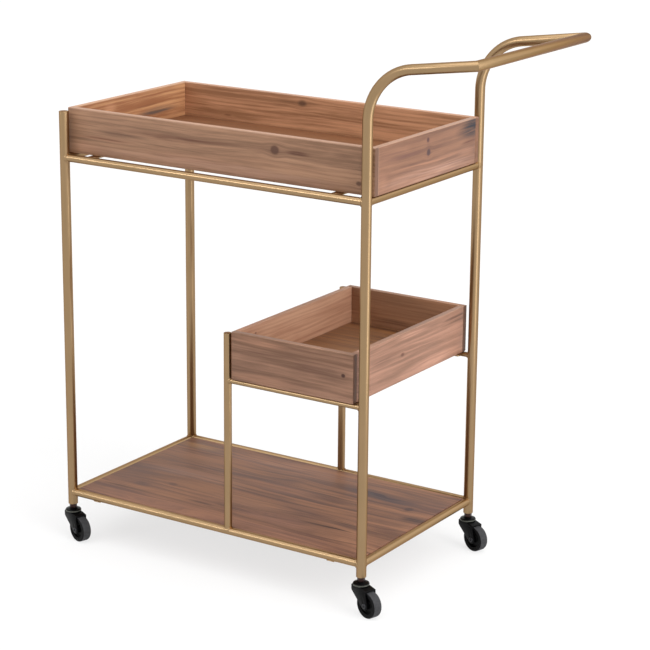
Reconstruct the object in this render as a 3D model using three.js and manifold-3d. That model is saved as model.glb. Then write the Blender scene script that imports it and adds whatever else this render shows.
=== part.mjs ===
// Two-tier bar cart on four swivel casters: a welded tube frame whose right legs bend over into a
// push handle, a wide wooden tray on top, a short wooden tray half way up and a wooden shelf below.
// Millimetres. +X runs along the cart towards the handle, +Y from its front to its back, +Z up.
// Inside the cart group the front left leg's axis is the Z axis and the floor is at zero.

import * as THREE from "three";
import { mergeVertices } from "three/addons/utils/BufferGeometryUtils.js";
import Module from "manifold-3d";

const wasm = await Module();
wasm.setup();

// Frame
const LEG_SPACING_X = 680;
const LEG_SPACING_Y = 400;
const LEG_OD = 19;
const LEG_WALL = 1.2;
const RAIL_OD = 15;
const RAIL_WALL = 1;
const ROD_OD = 10;
const SHELF_RAIL_ABOVE_LEG_END = 24.5;
const MID_RAIL_ABOVE_SHELF_RAIL = 300.5;
const TOP_RAIL_ABOVE_MID_RAIL = 379;
const POST_FROM_RIGHT_LEG = 299.5;
const TOP_BELOW_RIM = 5;

// Handle, measured on the axis of its tube
const BEND_ABOVE_RIM = 48.5;
const BEND_RADIUS = 100;
const ARM_RISE_DEGREES = 8;
const ARM_LENGTH = 127.5;

// End caps of the left legs and of the posts
const CAP_THICKNESS = 2;
const CAP_CHAMFER = 0.8;
const CAP_PLUG_LENGTH = 9;

// Lugs welded to the front and back rails, which the trays and the shelf are screwed to
const LUG_INSET = 65;
const LUG_WIDTH = 20;
const LUG_REACH = 30;
const LUG_THICKNESS = 2.6;
const LUG_BITE = 0.3;
const LUG_HOLE = 4.4;
const LUG_HOLE_FROM_TIP = 9;
const UPPER_LUG_BEGIN_SHARE = 0.5;

// Wood
const BOARD_THICKNESS = 12;
const BOARD_CHAMFER = 0.8;
const TOP_TRAY_BEYOND_LEFT_LEG = 1.5;
const TOP_TRAY_BEYOND_RIGHT_LEG = 7.5;
const TOP_TRAY_LEG_GAP = 4.8;
const TOP_TRAY_HEIGHT = 87;
const MID_TRAY_POST_GAP = 5;
const MID_TRAY_LEG_GAP = 9.5;
const MID_TRAY_OVERHANG = 6;
const MID_TRAY_HEIGHT = 92.5;
const BASE_THICKNESS = 6;
const BASE_ABOVE_EDGE = 14;
const BASE_TONGUE = 4;
const BASE_WALL_GAP = 0.5;
const GROOVE_DEPTH = 5;
const GROOVE_CLEARANCE = 0.3;
const SHELF_THICKNESS = 12;

// Casters, whose own +X is the way that the wheel trails
const SWIVEL_DEGREES = -17;
const TRAIL = 23.5;
const WHEEL_RADIUS = 25;
const TYRE_WIDTH = 19;
const TYRE_DEPTH = 5.2;
const TYRE_SHOULDER = 1.6;
const HUB_RIM_SETBACK = 0.75;
const HUB_RIM_DEPTH = 2.6;
const HUB_WEB = 6;
const HUB_BOSS_RADIUS = 7;
const HUB_SIDE_CLEARANCE = 0.4;
const AXLE_RADIUS = 3;
const AXLE_RUNNING_GAP = 0.3;
const AXLE_HEAD_RADIUS = 5;
const AXLE_HEAD_HEIGHT = 1.8;
const FORK_SIDE_CLEARANCE = 1;
const FORK_CHEEK = 2;
const FORK_FRONT = 16;
const FORK_HOOD_BEYOND_AXLE = 3;
const FORK_HOOD_BEND = 11;
const FORK_HOOD_DROP = 3.4;
const FORK_PLATE = 5.7;
const FORK_WHEEL_GAP = 1.3;
const FORK_BOSS_RADIUS = 8;
const FORK_BOSS_START_DEGREES = -135;
const FORK_FRONT_SKIRT = 7;
const FORK_HOOD_SKIRT = 11.5;
const FORK_CORNER_RADIUS = 4.5;
const SHANK_RADIUS = 4;
const SHANK_GAP = 0.5;
const RIVET_HEAD_RADIUS = 6.5;
const RIVET_HEAD_HEIGHT = 1.6;
const RACE_RADIUS = 15.8;
const RACE_LIP = 2.2;
const RACE_NECK_RADIUS = 7.6;
const RACE_HEIGHT = 9.5;
const RACE_SHOULDER_SHARE = 0.9;
const RACE_SHOULDER_HEIGHT_SHARE = 0.66;
const NUT_ACROSS_FLATS = 13;
const NUT_HEIGHT = 5.9;
const STEM_INSERTION = 28;
const INSERT_LENGTH = 32;
const STEM_INSERT_GAP = 0.4;

// Pieces that meet stand this far apart, and cutters overrun what they cut by the second. The
// third is the side of the block that trims a mitre.
const SEAT_GAP = 0.3;
const OVERRUN = 2;
const MITRE_BLOCK = 60;

// Sides of the round pieces
const LEG_SIDES = 20;
const RAIL_SIDES = 20;
const ROD_SIDES = 16;
const BEND_STEPS = 10;
const TYRE_SIDES = 32;
const HUB_SIDES = 20;
const RACE_SIDES = 20;
const PIN_SIDES = 12;
const HEX_SIDES = 6;
const ARC_STEPS = 8;

// Sizes that follow from those above
const LEG_RADIUS = LEG_OD / 2;
const LEG_BORE = LEG_RADIUS - LEG_WALL;
const RAIL_RADIUS = RAIL_OD / 2;
const RAIL_BORE = RAIL_RADIUS - RAIL_WALL;
const ROD_RADIUS = ROD_OD / 2;
const FORK_UNDERSIDE = 2 * WHEEL_RADIUS + FORK_WHEEL_GAP;
const FORK_TOP = FORK_UNDERSIDE + FORK_PLATE;
const FORK_INNER_WIDTH = TYRE_WIDTH + 2 * FORK_SIDE_CLEARANCE;
const FORK_HALF_WIDTH = FORK_INNER_WIDTH / 2 + FORK_CHEEK;
const FORK_HOOD = TRAIL + FORK_HOOD_BEYOND_AXLE;
const RACE_BOTTOM = FORK_TOP + SEAT_GAP;
const RACE_TOP = RACE_BOTTOM + RACE_HEIGHT;
const LEG_END_HEIGHT = RACE_TOP + NUT_HEIGHT + SEAT_GAP;
const SHELF_RAIL_HEIGHT = LEG_END_HEIGHT + SHELF_RAIL_ABOVE_LEG_END;
const MID_RAIL_HEIGHT = SHELF_RAIL_HEIGHT + MID_RAIL_ABOVE_SHELF_RAIL;
const TOP_RAIL_HEIGHT = MID_RAIL_HEIGHT + TOP_RAIL_ABOVE_MID_RAIL;
const POST_X = LEG_SPACING_X - POST_FROM_RIGHT_LEG;
const TOP_TRAY_LENGTH = TOP_TRAY_BEYOND_LEFT_LEG + LEG_SPACING_X + TOP_TRAY_BEYOND_RIGHT_LEG;
const TOP_TRAY_INSET = LEG_RADIUS + TOP_TRAY_LEG_GAP;
const TOP_TRAY_WIDTH = LEG_SPACING_Y - 2 * TOP_TRAY_INSET;
const MID_TRAY_X = POST_X + RAIL_RADIUS + MID_TRAY_POST_GAP;
const MID_TRAY_LENGTH =
  POST_FROM_RIGHT_LEG - RAIL_RADIUS - MID_TRAY_POST_GAP - MID_TRAY_LEG_GAP - LEG_RADIUS;
const MID_TRAY_WIDTH = LEG_SPACING_Y + 2 * MID_TRAY_OVERHANG;
const TOP_TRAY_FLOOR = TOP_RAIL_HEIGHT + RAIL_RADIUS + SEAT_GAP;
const TOP_RIM_HEIGHT = TOP_TRAY_FLOOR + TOP_TRAY_HEIGHT;
const MID_TRAY_FLOOR = MID_RAIL_HEIGHT + ROD_RADIUS + SEAT_GAP;
const MID_RIM_HEIGHT = MID_TRAY_FLOOR + MID_TRAY_HEIGHT;
const LEFT_LEG_TOP = TOP_RIM_HEIGHT - TOP_BELOW_RIM;
const POST_TOP = MID_RIM_HEIGHT - TOP_BELOW_RIM;
const BEND_HEIGHT = TOP_RIM_HEIGHT + BEND_ABOVE_RIM;
const ARM_RISE = THREE.MathUtils.degToRad(ARM_RISE_DEGREES);
const BEND_ANGLE = Math.PI / 2 - ARM_RISE;
const SHELF_LUG_TOP = SHELF_RAIL_HEIGHT - RAIL_RADIUS + LUG_BITE;
const TOP_LUG_TOP = TOP_RAIL_HEIGHT + RAIL_RADIUS;
const MID_LUG_TOP = MID_RAIL_HEIGHT + ROD_RADIUS;

const GOLD = { color: 0xb99458, roughness: 0.32, metalness: 1 };
const CEDAR = { color: 0xa5785c, roughness: 0.62, metalness: 0 };
const SHELF_WOOD = { color: 0x8c6450, roughness: 0.6, metalness: 0 };
const BLACK_STEEL = { color: 0x17171a, roughness: 0.4, metalness: 0.5 };
const BLACK_PLASTIC = { color: 0x141416, roughness: 0.45, metalness: 0 };
const GREY_RUBBER = { color: 0x5b5b60, roughness: 0.7, metalness: 0 };

// A closed geometry as a solid for joining and cutting.
function solidOf(geometry) {
  const loose = geometry.index ? geometry.toNonIndexed() : geometry.clone();
  loose.deleteAttribute("normal");
  loose.deleteAttribute("uv");
  const merged = mergeVertices(loose);
  const corners = merged.index.array;
  const triVerts = [];
  for (let i = 0; i < corners.length; i += 3) {
    const [a, b, c] = corners.slice(i, i + 3);
    if (a !== b && b !== c && c !== a) triVerts.push(a, b, c);
  }
  const vertProperties = new Float32Array(merged.attributes.position.array);
  return new wasm.Manifold(
    new wasm.Mesh({ numProp: 3, vertProperties, triVerts: new Uint32Array(triVerts) }),
  );
}

// A solid as a geometry for a mesh.
function geometryOf(solid) {
  const { vertProperties, triVerts } = solid.getMesh();
  const geometry = new THREE.BufferGeometry();
  geometry.setAttribute("position", new THREE.BufferAttribute(new Float32Array(vertProperties), 3));
  geometry.setIndex(new THREE.BufferAttribute(new Uint32Array(triVerts), 1));
  geometry.computeVertexNormals();
  return geometry;
}

function addPiece(group, name, solid, finish) {
  const material = new THREE.MeshStandardMaterial({ ...finish, flatShading: true });
  const mesh = new THREE.Mesh(geometryOf(solid), material);
  mesh.name = name;
  group.add(mesh);
}

// The corners of a regular polygon, the first on +X.
function circlePoints(radius, sides) {
  const points = [];
  for (let i = 0; i < sides; i += 1) {
    const angle = (2 * Math.PI * i) / sides;
    points.push(new THREE.Vector2(radius * Math.cos(angle), radius * Math.sin(angle)));
  }
  return points;
}

// Points on an arc in the plane of a side view, both ends included.
function arcPoints(centre, radius, from, to, steps) {
  const points = [];
  for (let i = 0; i <= steps; i += 1) {
    const angle = from + ((to - from) * i) / steps;
    points.push([centre[0] + radius * Math.cos(angle), centre[1] + radius * Math.sin(angle)]);
  }
  return points;
}

// A profile of [radius, height] pairs, listed upwards on its outside, turned about the Z axis.
function revolve(profile, sides) {
  const points = profile.map(([radius, height]) => new THREE.Vector2(radius, height));
  return new THREE.LatheGeometry(points, sides).rotateX(Math.PI / 2);
}

function shaftGeometry(radius, from, to, sides) {
  return revolve([[0, from], [radius, from], [radius, to], [0, to]], sides);
}

function tubeGeometry(radius, bore, from, to, sides) {
  return revolve([[bore, from], [radius, from], [radius, to], [bore, to], [bore, from]], sides);
}

// An upright geometry laid along +X or +Y.
const alongX = (geometry) => geometry.rotateY(Math.PI / 2);
const alongY = (geometry) => geometry.rotateX(-Math.PI / 2);

function boxSolid(low, high) {
  const size = high.map((value, i) => value - low[i]);
  const box = new THREE.BoxGeometry(...size);
  box.translate(...low.map((value, i) => value + size[i] / 2));
  return solidOf(box);
}

// An outline of [x, z] pairs, thickened evenly to both sides of the XZ plane.
function sidePlate(outline, width) {
  const shape = new THREE.Shape(outline.map(([x, z]) => new THREE.Vector2(x, z)));
  const plate = new THREE.ExtrudeGeometry(shape, { depth: width, bevelEnabled: false });
  return solidOf(plate.rotateX(Math.PI / 2).translate(0, width / 2, 0));
}

// What a leg or a post takes out of the end of a rail that is welded to it.
function uprightCutter(x, y, radius) {
  const cutter = shaftGeometry(radius + SEAT_GAP, 0, BEND_HEIGHT, LEG_SIDES);
  return solidOf(cutter.translate(x, y, 0));
}

const LEGS = [
  { corner: "front_left", x: 0, y: 0 },
  { corner: "back_left", x: 0, y: LEG_SPACING_Y },
  { corner: "front_right", x: LEG_SPACING_X, y: 0 },
  { corner: "back_right", x: LEG_SPACING_X, y: LEG_SPACING_Y },
];

const SIDES = [
  { side: "front", y: 0, inward: 1 },
  { side: "back", y: LEG_SPACING_Y, inward: -1 },
];

// The axis of a right leg: up from the caster, round the bend and along the arm of the handle.
// Its parameter gives the leg and the arm one step each and the rest to the bend.
class HandleLegAxis extends THREE.Curve {
  constructor(x, y) {
    super();
    this.x = x;
    this.y = y;
    this.steps = BEND_STEPS + 2;
  }

  // How far round the bend a parameter lies, and how far along the leg and the arm.
  stage(t) {
    const step = t * this.steps;
    return {
      leg: THREE.MathUtils.clamp(step, 0, 1),
      turn: THREE.MathUtils.clamp((step - 1) / BEND_STEPS, 0, 1) * BEND_ANGLE,
      arm: THREE.MathUtils.clamp(step - 1 - BEND_STEPS, 0, 1),
    };
  }

  getPoint(t, target = new THREE.Vector3()) {
    const { leg, turn, arm } = this.stage(t);
    const along = arm * ARM_LENGTH;
    const rise = THREE.MathUtils.lerp(LEG_END_HEIGHT, BEND_HEIGHT, leg);
    return target.set(
      this.x + BEND_RADIUS * (1 - Math.cos(turn)) + along * Math.cos(ARM_RISE),
      this.y,
      rise + BEND_RADIUS * Math.sin(turn) + along * Math.sin(ARM_RISE),
    );
  }

  getTangent(t, target = new THREE.Vector3()) {
    const { turn } = this.stage(t);
    return target.set(Math.sin(turn), 0, Math.cos(turn));
  }

  getPointAt(u, target) {
    return this.getPoint(u, target);
  }

  getTangentAt(u, target) {
    return this.getTangent(u, target);
  }
}

// The half of space beyond a mitre, as a block that swallows the end of the tube.
function mitreCutter(corner, direction) {
  const block = new THREE.BoxGeometry(MITRE_BLOCK, MITRE_BLOCK, MITRE_BLOCK);
  block.translate(0, 0, MITRE_BLOCK / 2);
  const up = new THREE.Vector3(0, 0, 1);
  block.applyQuaternion(new THREE.Quaternion().setFromUnitVectors(up, direction));
  const face = corner.clone().addScaledVector(direction, -SEAT_GAP / 2);
  return solidOf(block.translate(face.x, face.y, face.z));
}

// A right leg with its arm, mitred where it meets the crossbar.
function handleLeg(axis, towardsBack) {
  const shape = new THREE.Shape(circlePoints(LEG_RADIUS, LEG_SIDES));
  shape.holes.push(new THREE.Path(circlePoints(LEG_BORE, LEG_SIDES)));
  const overrun = new HandleLegAxis(axis.x, axis.y);
  const reach = LEG_RADIUS + OVERRUN;
  overrun.getPoint = (t, target = new THREE.Vector3()) => {
    const { arm } = axis.stage(t);
    axis.getPoint(t, target);
    target.x += arm * reach * Math.cos(ARM_RISE);
    target.z += arm * reach * Math.sin(ARM_RISE);
    return target;
  };
  const swept = new THREE.ExtrudeGeometry(shape, { steps: axis.steps, extrudePath: overrun });
  const arm = axis.getTangent(1);
  const bisector = arm.add(new THREE.Vector3(0, towardsBack, 0)).normalize();
  return solidOf(swept).subtract(mitreCutter(axis.getPoint(1), bisector));
}

// The crossbar between the two arms, mitred at both ends.
function crossbar(frontAxis, backAxis) {
  const front = frontAxis.getPoint(1);
  const back = backAxis.getPoint(1);
  const reach = LEG_RADIUS + OVERRUN;
  const tube = alongY(tubeGeometry(LEG_RADIUS, LEG_BORE, -reach, LEG_SPACING_Y + reach, LEG_SIDES));
  const arm = frontAxis.getTangent(1);
  const atFront = new THREE.Vector3(-arm.x, -1, -arm.z).normalize();
  const atBack = new THREE.Vector3(-arm.x, 1, -arm.z).normalize();
  return solidOf(tube.translate(front.x, front.y, front.z))
    .subtract(mitreCutter(front, atFront))
    .subtract(mitreCutter(back, atBack));
}

function buildLegs(cart) {
  for (const { corner, x, y } of LEGS.filter((leg) => leg.x === 0)) {
    const top = LEFT_LEG_TOP - CAP_THICKNESS - SEAT_GAP;
    const tube = tubeGeometry(LEG_RADIUS, LEG_BORE, LEG_END_HEIGHT, top, LEG_SIDES);
    addPiece(cart, `${corner}_leg`, solidOf(tube.translate(x, y, 0)), GOLD);
    const cap = endCap(LEG_RADIUS, LEG_BORE, LEFT_LEG_TOP, LEG_SIDES);
    addPiece(cart, `${corner}_leg_cap`, solidOf(cap.translate(x, y, 0)), GOLD);
  }
  const front = new HandleLegAxis(LEG_SPACING_X, 0);
  const back = new HandleLegAxis(LEG_SPACING_X, LEG_SPACING_Y);
  addPiece(cart, "front_handle_leg", handleLeg(front, 1), GOLD);
  addPiece(cart, "back_handle_leg", handleLeg(back, -1), GOLD);
  addPiece(cart, "handle_crossbar", crossbar(front, back), GOLD);
}

// A flat cap with an eased rim and a plug that goes down the bore of the tube.
function endCap(radius, bore, top, sides) {
  const plug = bore - SEAT_GAP;
  const under = top - CAP_THICKNESS;
  return revolve(
    [
      [0, under - CAP_PLUG_LENGTH],
      [plug, under - CAP_PLUG_LENGTH],
      [plug, under],
      [radius, under],
      [radius, top - CAP_CHAMFER],
      [radius - CAP_CHAMFER, top],
      [0, top],
    ],
    sides,
  );
}

// A lug that reaches inwards from a rail, with its screw hole.
function lug(x, side, top, begin) {
  const start = side.y + side.inward * begin;
  const tip = side.y + side.inward * LUG_REACH;
  const low = [x - LUG_WIDTH / 2, Math.min(start, tip), top - LUG_THICKNESS];
  const high = [x + LUG_WIDTH / 2, Math.max(start, tip), top];
  const screw = shaftGeometry(LUG_HOLE / 2, -OVERRUN, LUG_THICKNESS + OVERRUN, PIN_SIDES);
  screw.translate(x, tip - side.inward * LUG_HOLE_FROM_TIP, top - LUG_THICKNESS);
  return boxSolid(low, high).subtract(solidOf(screw));
}

// One rectangle of rails between the legs, its front and back ones with two lugs each.
function buildRailFrame(cart, level, height, lugTop, lugBegin) {
  const legs = LEGS.map(({ x, y }) => uprightCutter(x, y, LEG_RADIUS));
  const runs = SIDES.map(({ y }) =>
    alongX(shaftGeometry(RAIL_RADIUS + SEAT_GAP, 0, LEG_SPACING_X, RAIL_SIDES)).translate(0, y, height),
  );
  for (const side of SIDES) {
    const rail = tubeGeometry(RAIL_RADIUS, RAIL_BORE, 0, LEG_SPACING_X, RAIL_SIDES);
    let solid = solidOf(alongX(rail).translate(0, side.y, height));
    for (const x of [LUG_INSET, LEG_SPACING_X - LUG_INSET]) {
      solid = solid.add(lug(x, side, lugTop, lugBegin));
    }
    for (const leg of legs) solid = solid.subtract(leg);
    addPiece(cart, `${level}_${side.side}_rail`, solid, GOLD);
  }
  for (const [name, x] of [["left", 0], ["right", LEG_SPACING_X]]) {
    const rail = tubeGeometry(RAIL_RADIUS, RAIL_BORE, 0, LEG_SPACING_Y, RAIL_SIDES);
    let solid = solidOf(alongY(rail).translate(x, 0, height));
    for (const leg of legs) solid = solid.subtract(leg);
    for (const run of runs) solid = solid.subtract(solidOf(run));
    addPiece(cart, `${level}_${name}_rail`, solid, GOLD);
  }
}

// The two posts of the short tray, and the rods that carry it between them and the right legs.
// Each rod has a lug under either side board.
function buildMidSupport(cart) {
  const underBoard = BOARD_THICKNESS / 2;
  for (const { side, y, inward } of SIDES) {
    const top = POST_TOP - CAP_THICKNESS - SEAT_GAP;
    const tube = tubeGeometry(RAIL_RADIUS, RAIL_BORE, SHELF_RAIL_HEIGHT, top, RAIL_SIDES);
    const saddle = alongX(shaftGeometry(RAIL_RADIUS + SEAT_GAP, 0, LEG_SPACING_X, RAIL_SIDES));
    const post = solidOf(tube.translate(POST_X, y, 0)).subtract(
      solidOf(saddle.translate(0, y, SHELF_RAIL_HEIGHT)),
    );
    addPiece(cart, `${side}_post`, post, GOLD);
    const cap = endCap(RAIL_RADIUS, RAIL_BORE, POST_TOP, RAIL_SIDES);
    addPiece(cart, `${side}_post_cap`, solidOf(cap.translate(POST_X, y, 0)), GOLD);
    const rod = alongX(shaftGeometry(ROD_RADIUS, POST_X, LEG_SPACING_X, ROD_SIDES));
    let rail = solidOf(rod.translate(0, y, MID_RAIL_HEIGHT))
      .subtract(uprightCutter(POST_X, y, RAIL_RADIUS))
      .subtract(uprightCutter(LEG_SPACING_X, y, LEG_RADIUS));
    for (const x of [MID_TRAY_X + underBoard, MID_TRAY_X + MID_TRAY_LENGTH - underBoard]) {
      rail = rail.add(lug(x, { y, inward }, MID_LUG_TOP, ROD_RADIUS * UPPER_LUG_BEGIN_SHARE));
    }
    addPiece(cart, `${side}_mid_rail`, rail, GOLD);
  }
}

// A straight board with eased long edges. length lies along X, thickness along Y and height along Z.
function boardGeometry(length, thickness, height) {
  const c = BOARD_CHAMFER;
  const outline = [
    [c, 0], [thickness - c, 0], [thickness, c], [thickness, height - c],
    [thickness - c, height], [c, height], [0, height - c], [0, c],
  ];
  const shape = new THREE.Shape(outline.map(([y, z]) => new THREE.Vector2(y, z)));
  const board = new THREE.ExtrudeGeometry(shape, { depth: length, bevelEnabled: false });
  // The outline's first axis turns to +Y, its second to +Z and the extrusion to +X.
  return board.rotateX(Math.PI / 2).rotateZ(Math.PI / 2);
}

// An open wooden box: front and back boards run its full length, the side boards stand between
// them, and the base has a tongue all round that sits in a groove of the boards.
function buildTray(cart, name, corner, length, width, height) {
  const tray = new THREE.Group();
  tray.position.set(...corner);
  const t = BOARD_THICKNESS;
  const edge = t - GROOVE_DEPTH;
  const tongueLow = [edge, edge, BASE_ABOVE_EDGE];
  const tongueHigh = [length - edge, width - edge, BASE_ABOVE_EDGE + BASE_TONGUE];
  const groove = boxSolid(
    tongueLow.map((value) => value - GROOVE_CLEARANCE),
    tongueHigh.map((value) => value + GROOVE_CLEARANCE),
  );
  const inside = t + BASE_WALL_GAP;
  const floor = boxSolid(
    [inside, inside, BASE_ABOVE_EDGE],
    [length - inside, width - inside, BASE_ABOVE_EDGE + BASE_THICKNESS],
  );
  for (const [side, y] of [["front", 0], ["back", width - t]]) {
    const board = solidOf(boardGeometry(length, t, height).translate(0, y, 0));
    addPiece(tray, `${name}_${side}_board`, board.subtract(groove), CEDAR);
  }
  const inner = width - 2 * (t + SEAT_GAP);
  for (const [side, x] of [["left", t], ["right", length]]) {
    const board = boardGeometry(inner, t, height).rotateZ(Math.PI / 2);
    const solid = solidOf(board.translate(x, t + SEAT_GAP, 0));
    addPiece(tray, `${name}_${side}_board`, solid.subtract(groove), CEDAR);
  }
  addPiece(tray, `${name}_base`, boxSolid(tongueLow, tongueHigh).add(floor), CEDAR);
  cart.add(tray);
}

function buildTrays(cart) {
  const topCorner = [-TOP_TRAY_BEYOND_LEFT_LEG, TOP_TRAY_INSET, TOP_TRAY_FLOOR];
  buildTray(cart, "top_tray", topCorner, TOP_TRAY_LENGTH, TOP_TRAY_WIDTH, TOP_TRAY_HEIGHT);
  const midCorner = [MID_TRAY_X, -MID_TRAY_OVERHANG, MID_TRAY_FLOOR];
  buildTray(cart, "mid_tray", midCorner, MID_TRAY_LENGTH, MID_TRAY_WIDTH, MID_TRAY_HEIGHT);
}

// The shelf lies inside the lower rectangle of rails, on their lugs, and clears the legs.
function buildShelf(cart) {
  const inset = RAIL_RADIUS + SEAT_GAP;
  const bottom = SHELF_LUG_TOP + SEAT_GAP;
  const panel = boardGeometry(
    LEG_SPACING_X - 2 * inset,
    LEG_SPACING_Y - 2 * inset,
    SHELF_THICKNESS,
  );
  let solid = solidOf(panel.translate(inset, inset, bottom));
  for (const { x, y } of LEGS) solid = solid.subtract(uprightCutter(x, y, LEG_RADIUS));
  addPiece(cart, "shelf_panel", solid, SHELF_WOOD);
}

// The fork: two cheeks that narrow to the axle, under a plate with a hood over the wheel.
function casterFork() {
  const axle = [TRAIL, WHEEL_RADIUS];
  const bossStart = THREE.MathUtils.degToRad(FORK_BOSS_START_DEGREES);
  const outline = [
    [FORK_HOOD, FORK_TOP - FORK_HOOD_DROP],
    [FORK_HOOD_BEND, FORK_TOP],
    [-FORK_FRONT, FORK_TOP],
    [-FORK_FRONT, FORK_TOP - FORK_FRONT_SKIRT],
    ...arcPoints(axle, FORK_BOSS_RADIUS, bossStart, 0, ARC_STEPS),
    [FORK_HOOD, FORK_TOP - FORK_HOOD_SKIRT],
  ];
  const block = sidePlate(outline, 2 * FORK_HALF_WIDTH);
  const half = FORK_INNER_WIDTH / 2;
  const reach = FORK_HOOD + FORK_BOSS_RADIUS + OVERRUN;
  const pocket = boxSolid([-reach, -half, -OVERRUN], [reach, half, FORK_UNDERSIDE]);
  const kingpin = shaftGeometry(SHANK_RADIUS + SHANK_GAP, 0, FORK_TOP + OVERRUN, RACE_SIDES);
  const bore = axleShaft(AXLE_RADIUS + AXLE_RUNNING_GAP, FORK_HALF_WIDTH + OVERRUN);
  return block
    .intersect(forkPlan())
    .subtract(pocket)
    .subtract(solidOf(kingpin))
    .subtract(solidOf(bore));
}

// The fork's outline from above, with round corners at the front, as a tall block.
function forkPlan() {
  const r = FORK_CORNER_RADIUS;
  const back = TRAIL + FORK_BOSS_RADIUS + OVERRUN;
  const shape = new THREE.Shape([
    new THREE.Vector2(back, -FORK_HALF_WIDTH),
    new THREE.Vector2(back, FORK_HALF_WIDTH),
    ...[1, -1].flatMap((side) => {
      const from = side > 0 ? Math.PI / 2 : Math.PI;
      const centre = [r - FORK_FRONT, side * (FORK_HALF_WIDTH - r)];
      return arcPoints(centre, r, from, from + Math.PI / 2, ARC_STEPS / 2).map(
        ([x, y]) => new THREE.Vector2(x, y),
      );
    }),
  ]);
  return solidOf(new THREE.ExtrudeGeometry(shape, { depth: FORK_TOP, bevelEnabled: false }));
}

// A shaft through the middle of the wheel, half its length to each side.
function axleShaft(radius, halfLength) {
  const shaft = alongY(shaftGeometry(radius, -halfLength, halfLength, PIN_SIDES));
  return shaft.translate(TRAIL, 0, WHEEL_RADIUS);
}

// The axle, held by a head outside each cheek.
function casterAxle() {
  const seat = FORK_HALF_WIDTH + SEAT_GAP;
  const end = seat + AXLE_HEAD_HEIGHT;
  const profile = [
    [0, -end],
    [AXLE_HEAD_RADIUS, -end],
    [AXLE_HEAD_RADIUS, -seat],
    [AXLE_RADIUS, -seat],
    [AXLE_RADIUS, seat],
    [AXLE_HEAD_RADIUS, seat],
    [AXLE_HEAD_RADIUS, end],
    [0, end],
  ];
  return solidOf(alongY(revolve(profile, PIN_SIDES)).translate(TRAIL, 0, WHEEL_RADIUS));
}

// The wheel's hub: a boss on the axle, a thin web and a rim under the tyre.
function wheelHub() {
  const bore = AXLE_RADIUS + AXLE_RUNNING_GAP;
  const boss = FORK_INNER_WIDTH / 2 - HUB_SIDE_CLEARANCE;
  const web = HUB_WEB / 2;
  const rim = TYRE_WIDTH / 2 - HUB_RIM_SETBACK;
  const outer = WHEEL_RADIUS - TYRE_DEPTH - SEAT_GAP;
  const inner = outer - HUB_RIM_DEPTH;
  const profile = [
    [bore, -boss],
    [HUB_BOSS_RADIUS, -boss],
    [HUB_BOSS_RADIUS, -web],
    [inner, -web],
    [inner, -rim],
    [outer, -rim],
    [outer, rim],
    [inner, rim],
    [inner, web],
    [HUB_BOSS_RADIUS, web],
    [HUB_BOSS_RADIUS, boss],
    [bore, boss],
    [bore, -boss],
  ];
  return solidOf(alongY(revolve(profile, HUB_SIDES)).translate(TRAIL, 0, WHEEL_RADIUS));
}

// The tyre, whose facets are as far from the axle as the wheel's radius and lie flat on the floor.
function wheelTyre() {
  const toCorner = 1 / Math.cos(Math.PI / TYRE_SIDES);
  const bore = (WHEEL_RADIUS - TYRE_DEPTH) * toCorner;
  const tread = WHEEL_RADIUS * toCorner;
  const side = (WHEEL_RADIUS - TYRE_SHOULDER) * toCorner;
  const half = TYRE_WIDTH / 2;
  const profile = [
    [bore, -half],
    [side, -half],
    [tread, TYRE_SHOULDER - half],
    [tread, half - TYRE_SHOULDER],
    [side, half],
    [bore, half],
    [bore, -half],
  ];
  const tyre = revolve(profile, TYRE_SIDES).rotateZ(Math.PI / TYRE_SIDES);
  return solidOf(alongY(tyre).translate(TRAIL, 0, WHEEL_RADIUS));
}

// The part of a caster that stands still: the pin up the leg, the nut, the domed race and the
// rivet that the fork hangs and turns on.
function casterStem() {
  const domeShoulder = RACE_BOTTOM + RACE_HEIGHT * RACE_SHOULDER_HEIGHT_SHARE;
  const profile = [
    [0, FORK_UNDERSIDE - SEAT_GAP - RIVET_HEAD_HEIGHT],
    [RIVET_HEAD_RADIUS, FORK_UNDERSIDE - SEAT_GAP - RIVET_HEAD_HEIGHT],
    [RIVET_HEAD_RADIUS, FORK_UNDERSIDE - SEAT_GAP],
    [SHANK_RADIUS, FORK_UNDERSIDE - SEAT_GAP],
    [SHANK_RADIUS, RACE_BOTTOM],
    [RACE_RADIUS, RACE_BOTTOM],
    [RACE_RADIUS, RACE_BOTTOM + RACE_LIP],
    [RACE_RADIUS * RACE_SHOULDER_SHARE, domeShoulder],
    [RACE_NECK_RADIUS, RACE_TOP],
    [SHANK_RADIUS, RACE_TOP],
    [SHANK_RADIUS, LEG_END_HEIGHT + STEM_INSERTION],
    [0, LEG_END_HEIGHT + STEM_INSERTION],
  ];
  const nutRadius = NUT_ACROSS_FLATS / 2 / Math.cos(Math.PI / HEX_SIDES);
  const nut = shaftGeometry(nutRadius, RACE_TOP - OVERRUN, RACE_TOP + NUT_HEIGHT, HEX_SIDES);
  return solidOf(revolve(profile, RACE_SIDES)).add(solidOf(nut));
}

// The plug in the leg's end that the stem is pushed into.
function legInsert() {
  const bore = SHANK_RADIUS + STEM_INSERT_GAP;
  const radius = LEG_BORE - SEAT_GAP;
  return solidOf(
    tubeGeometry(radius, bore, LEG_END_HEIGHT, LEG_END_HEIGHT + INSERT_LENGTH, RAIL_SIDES),
  );
}

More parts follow.
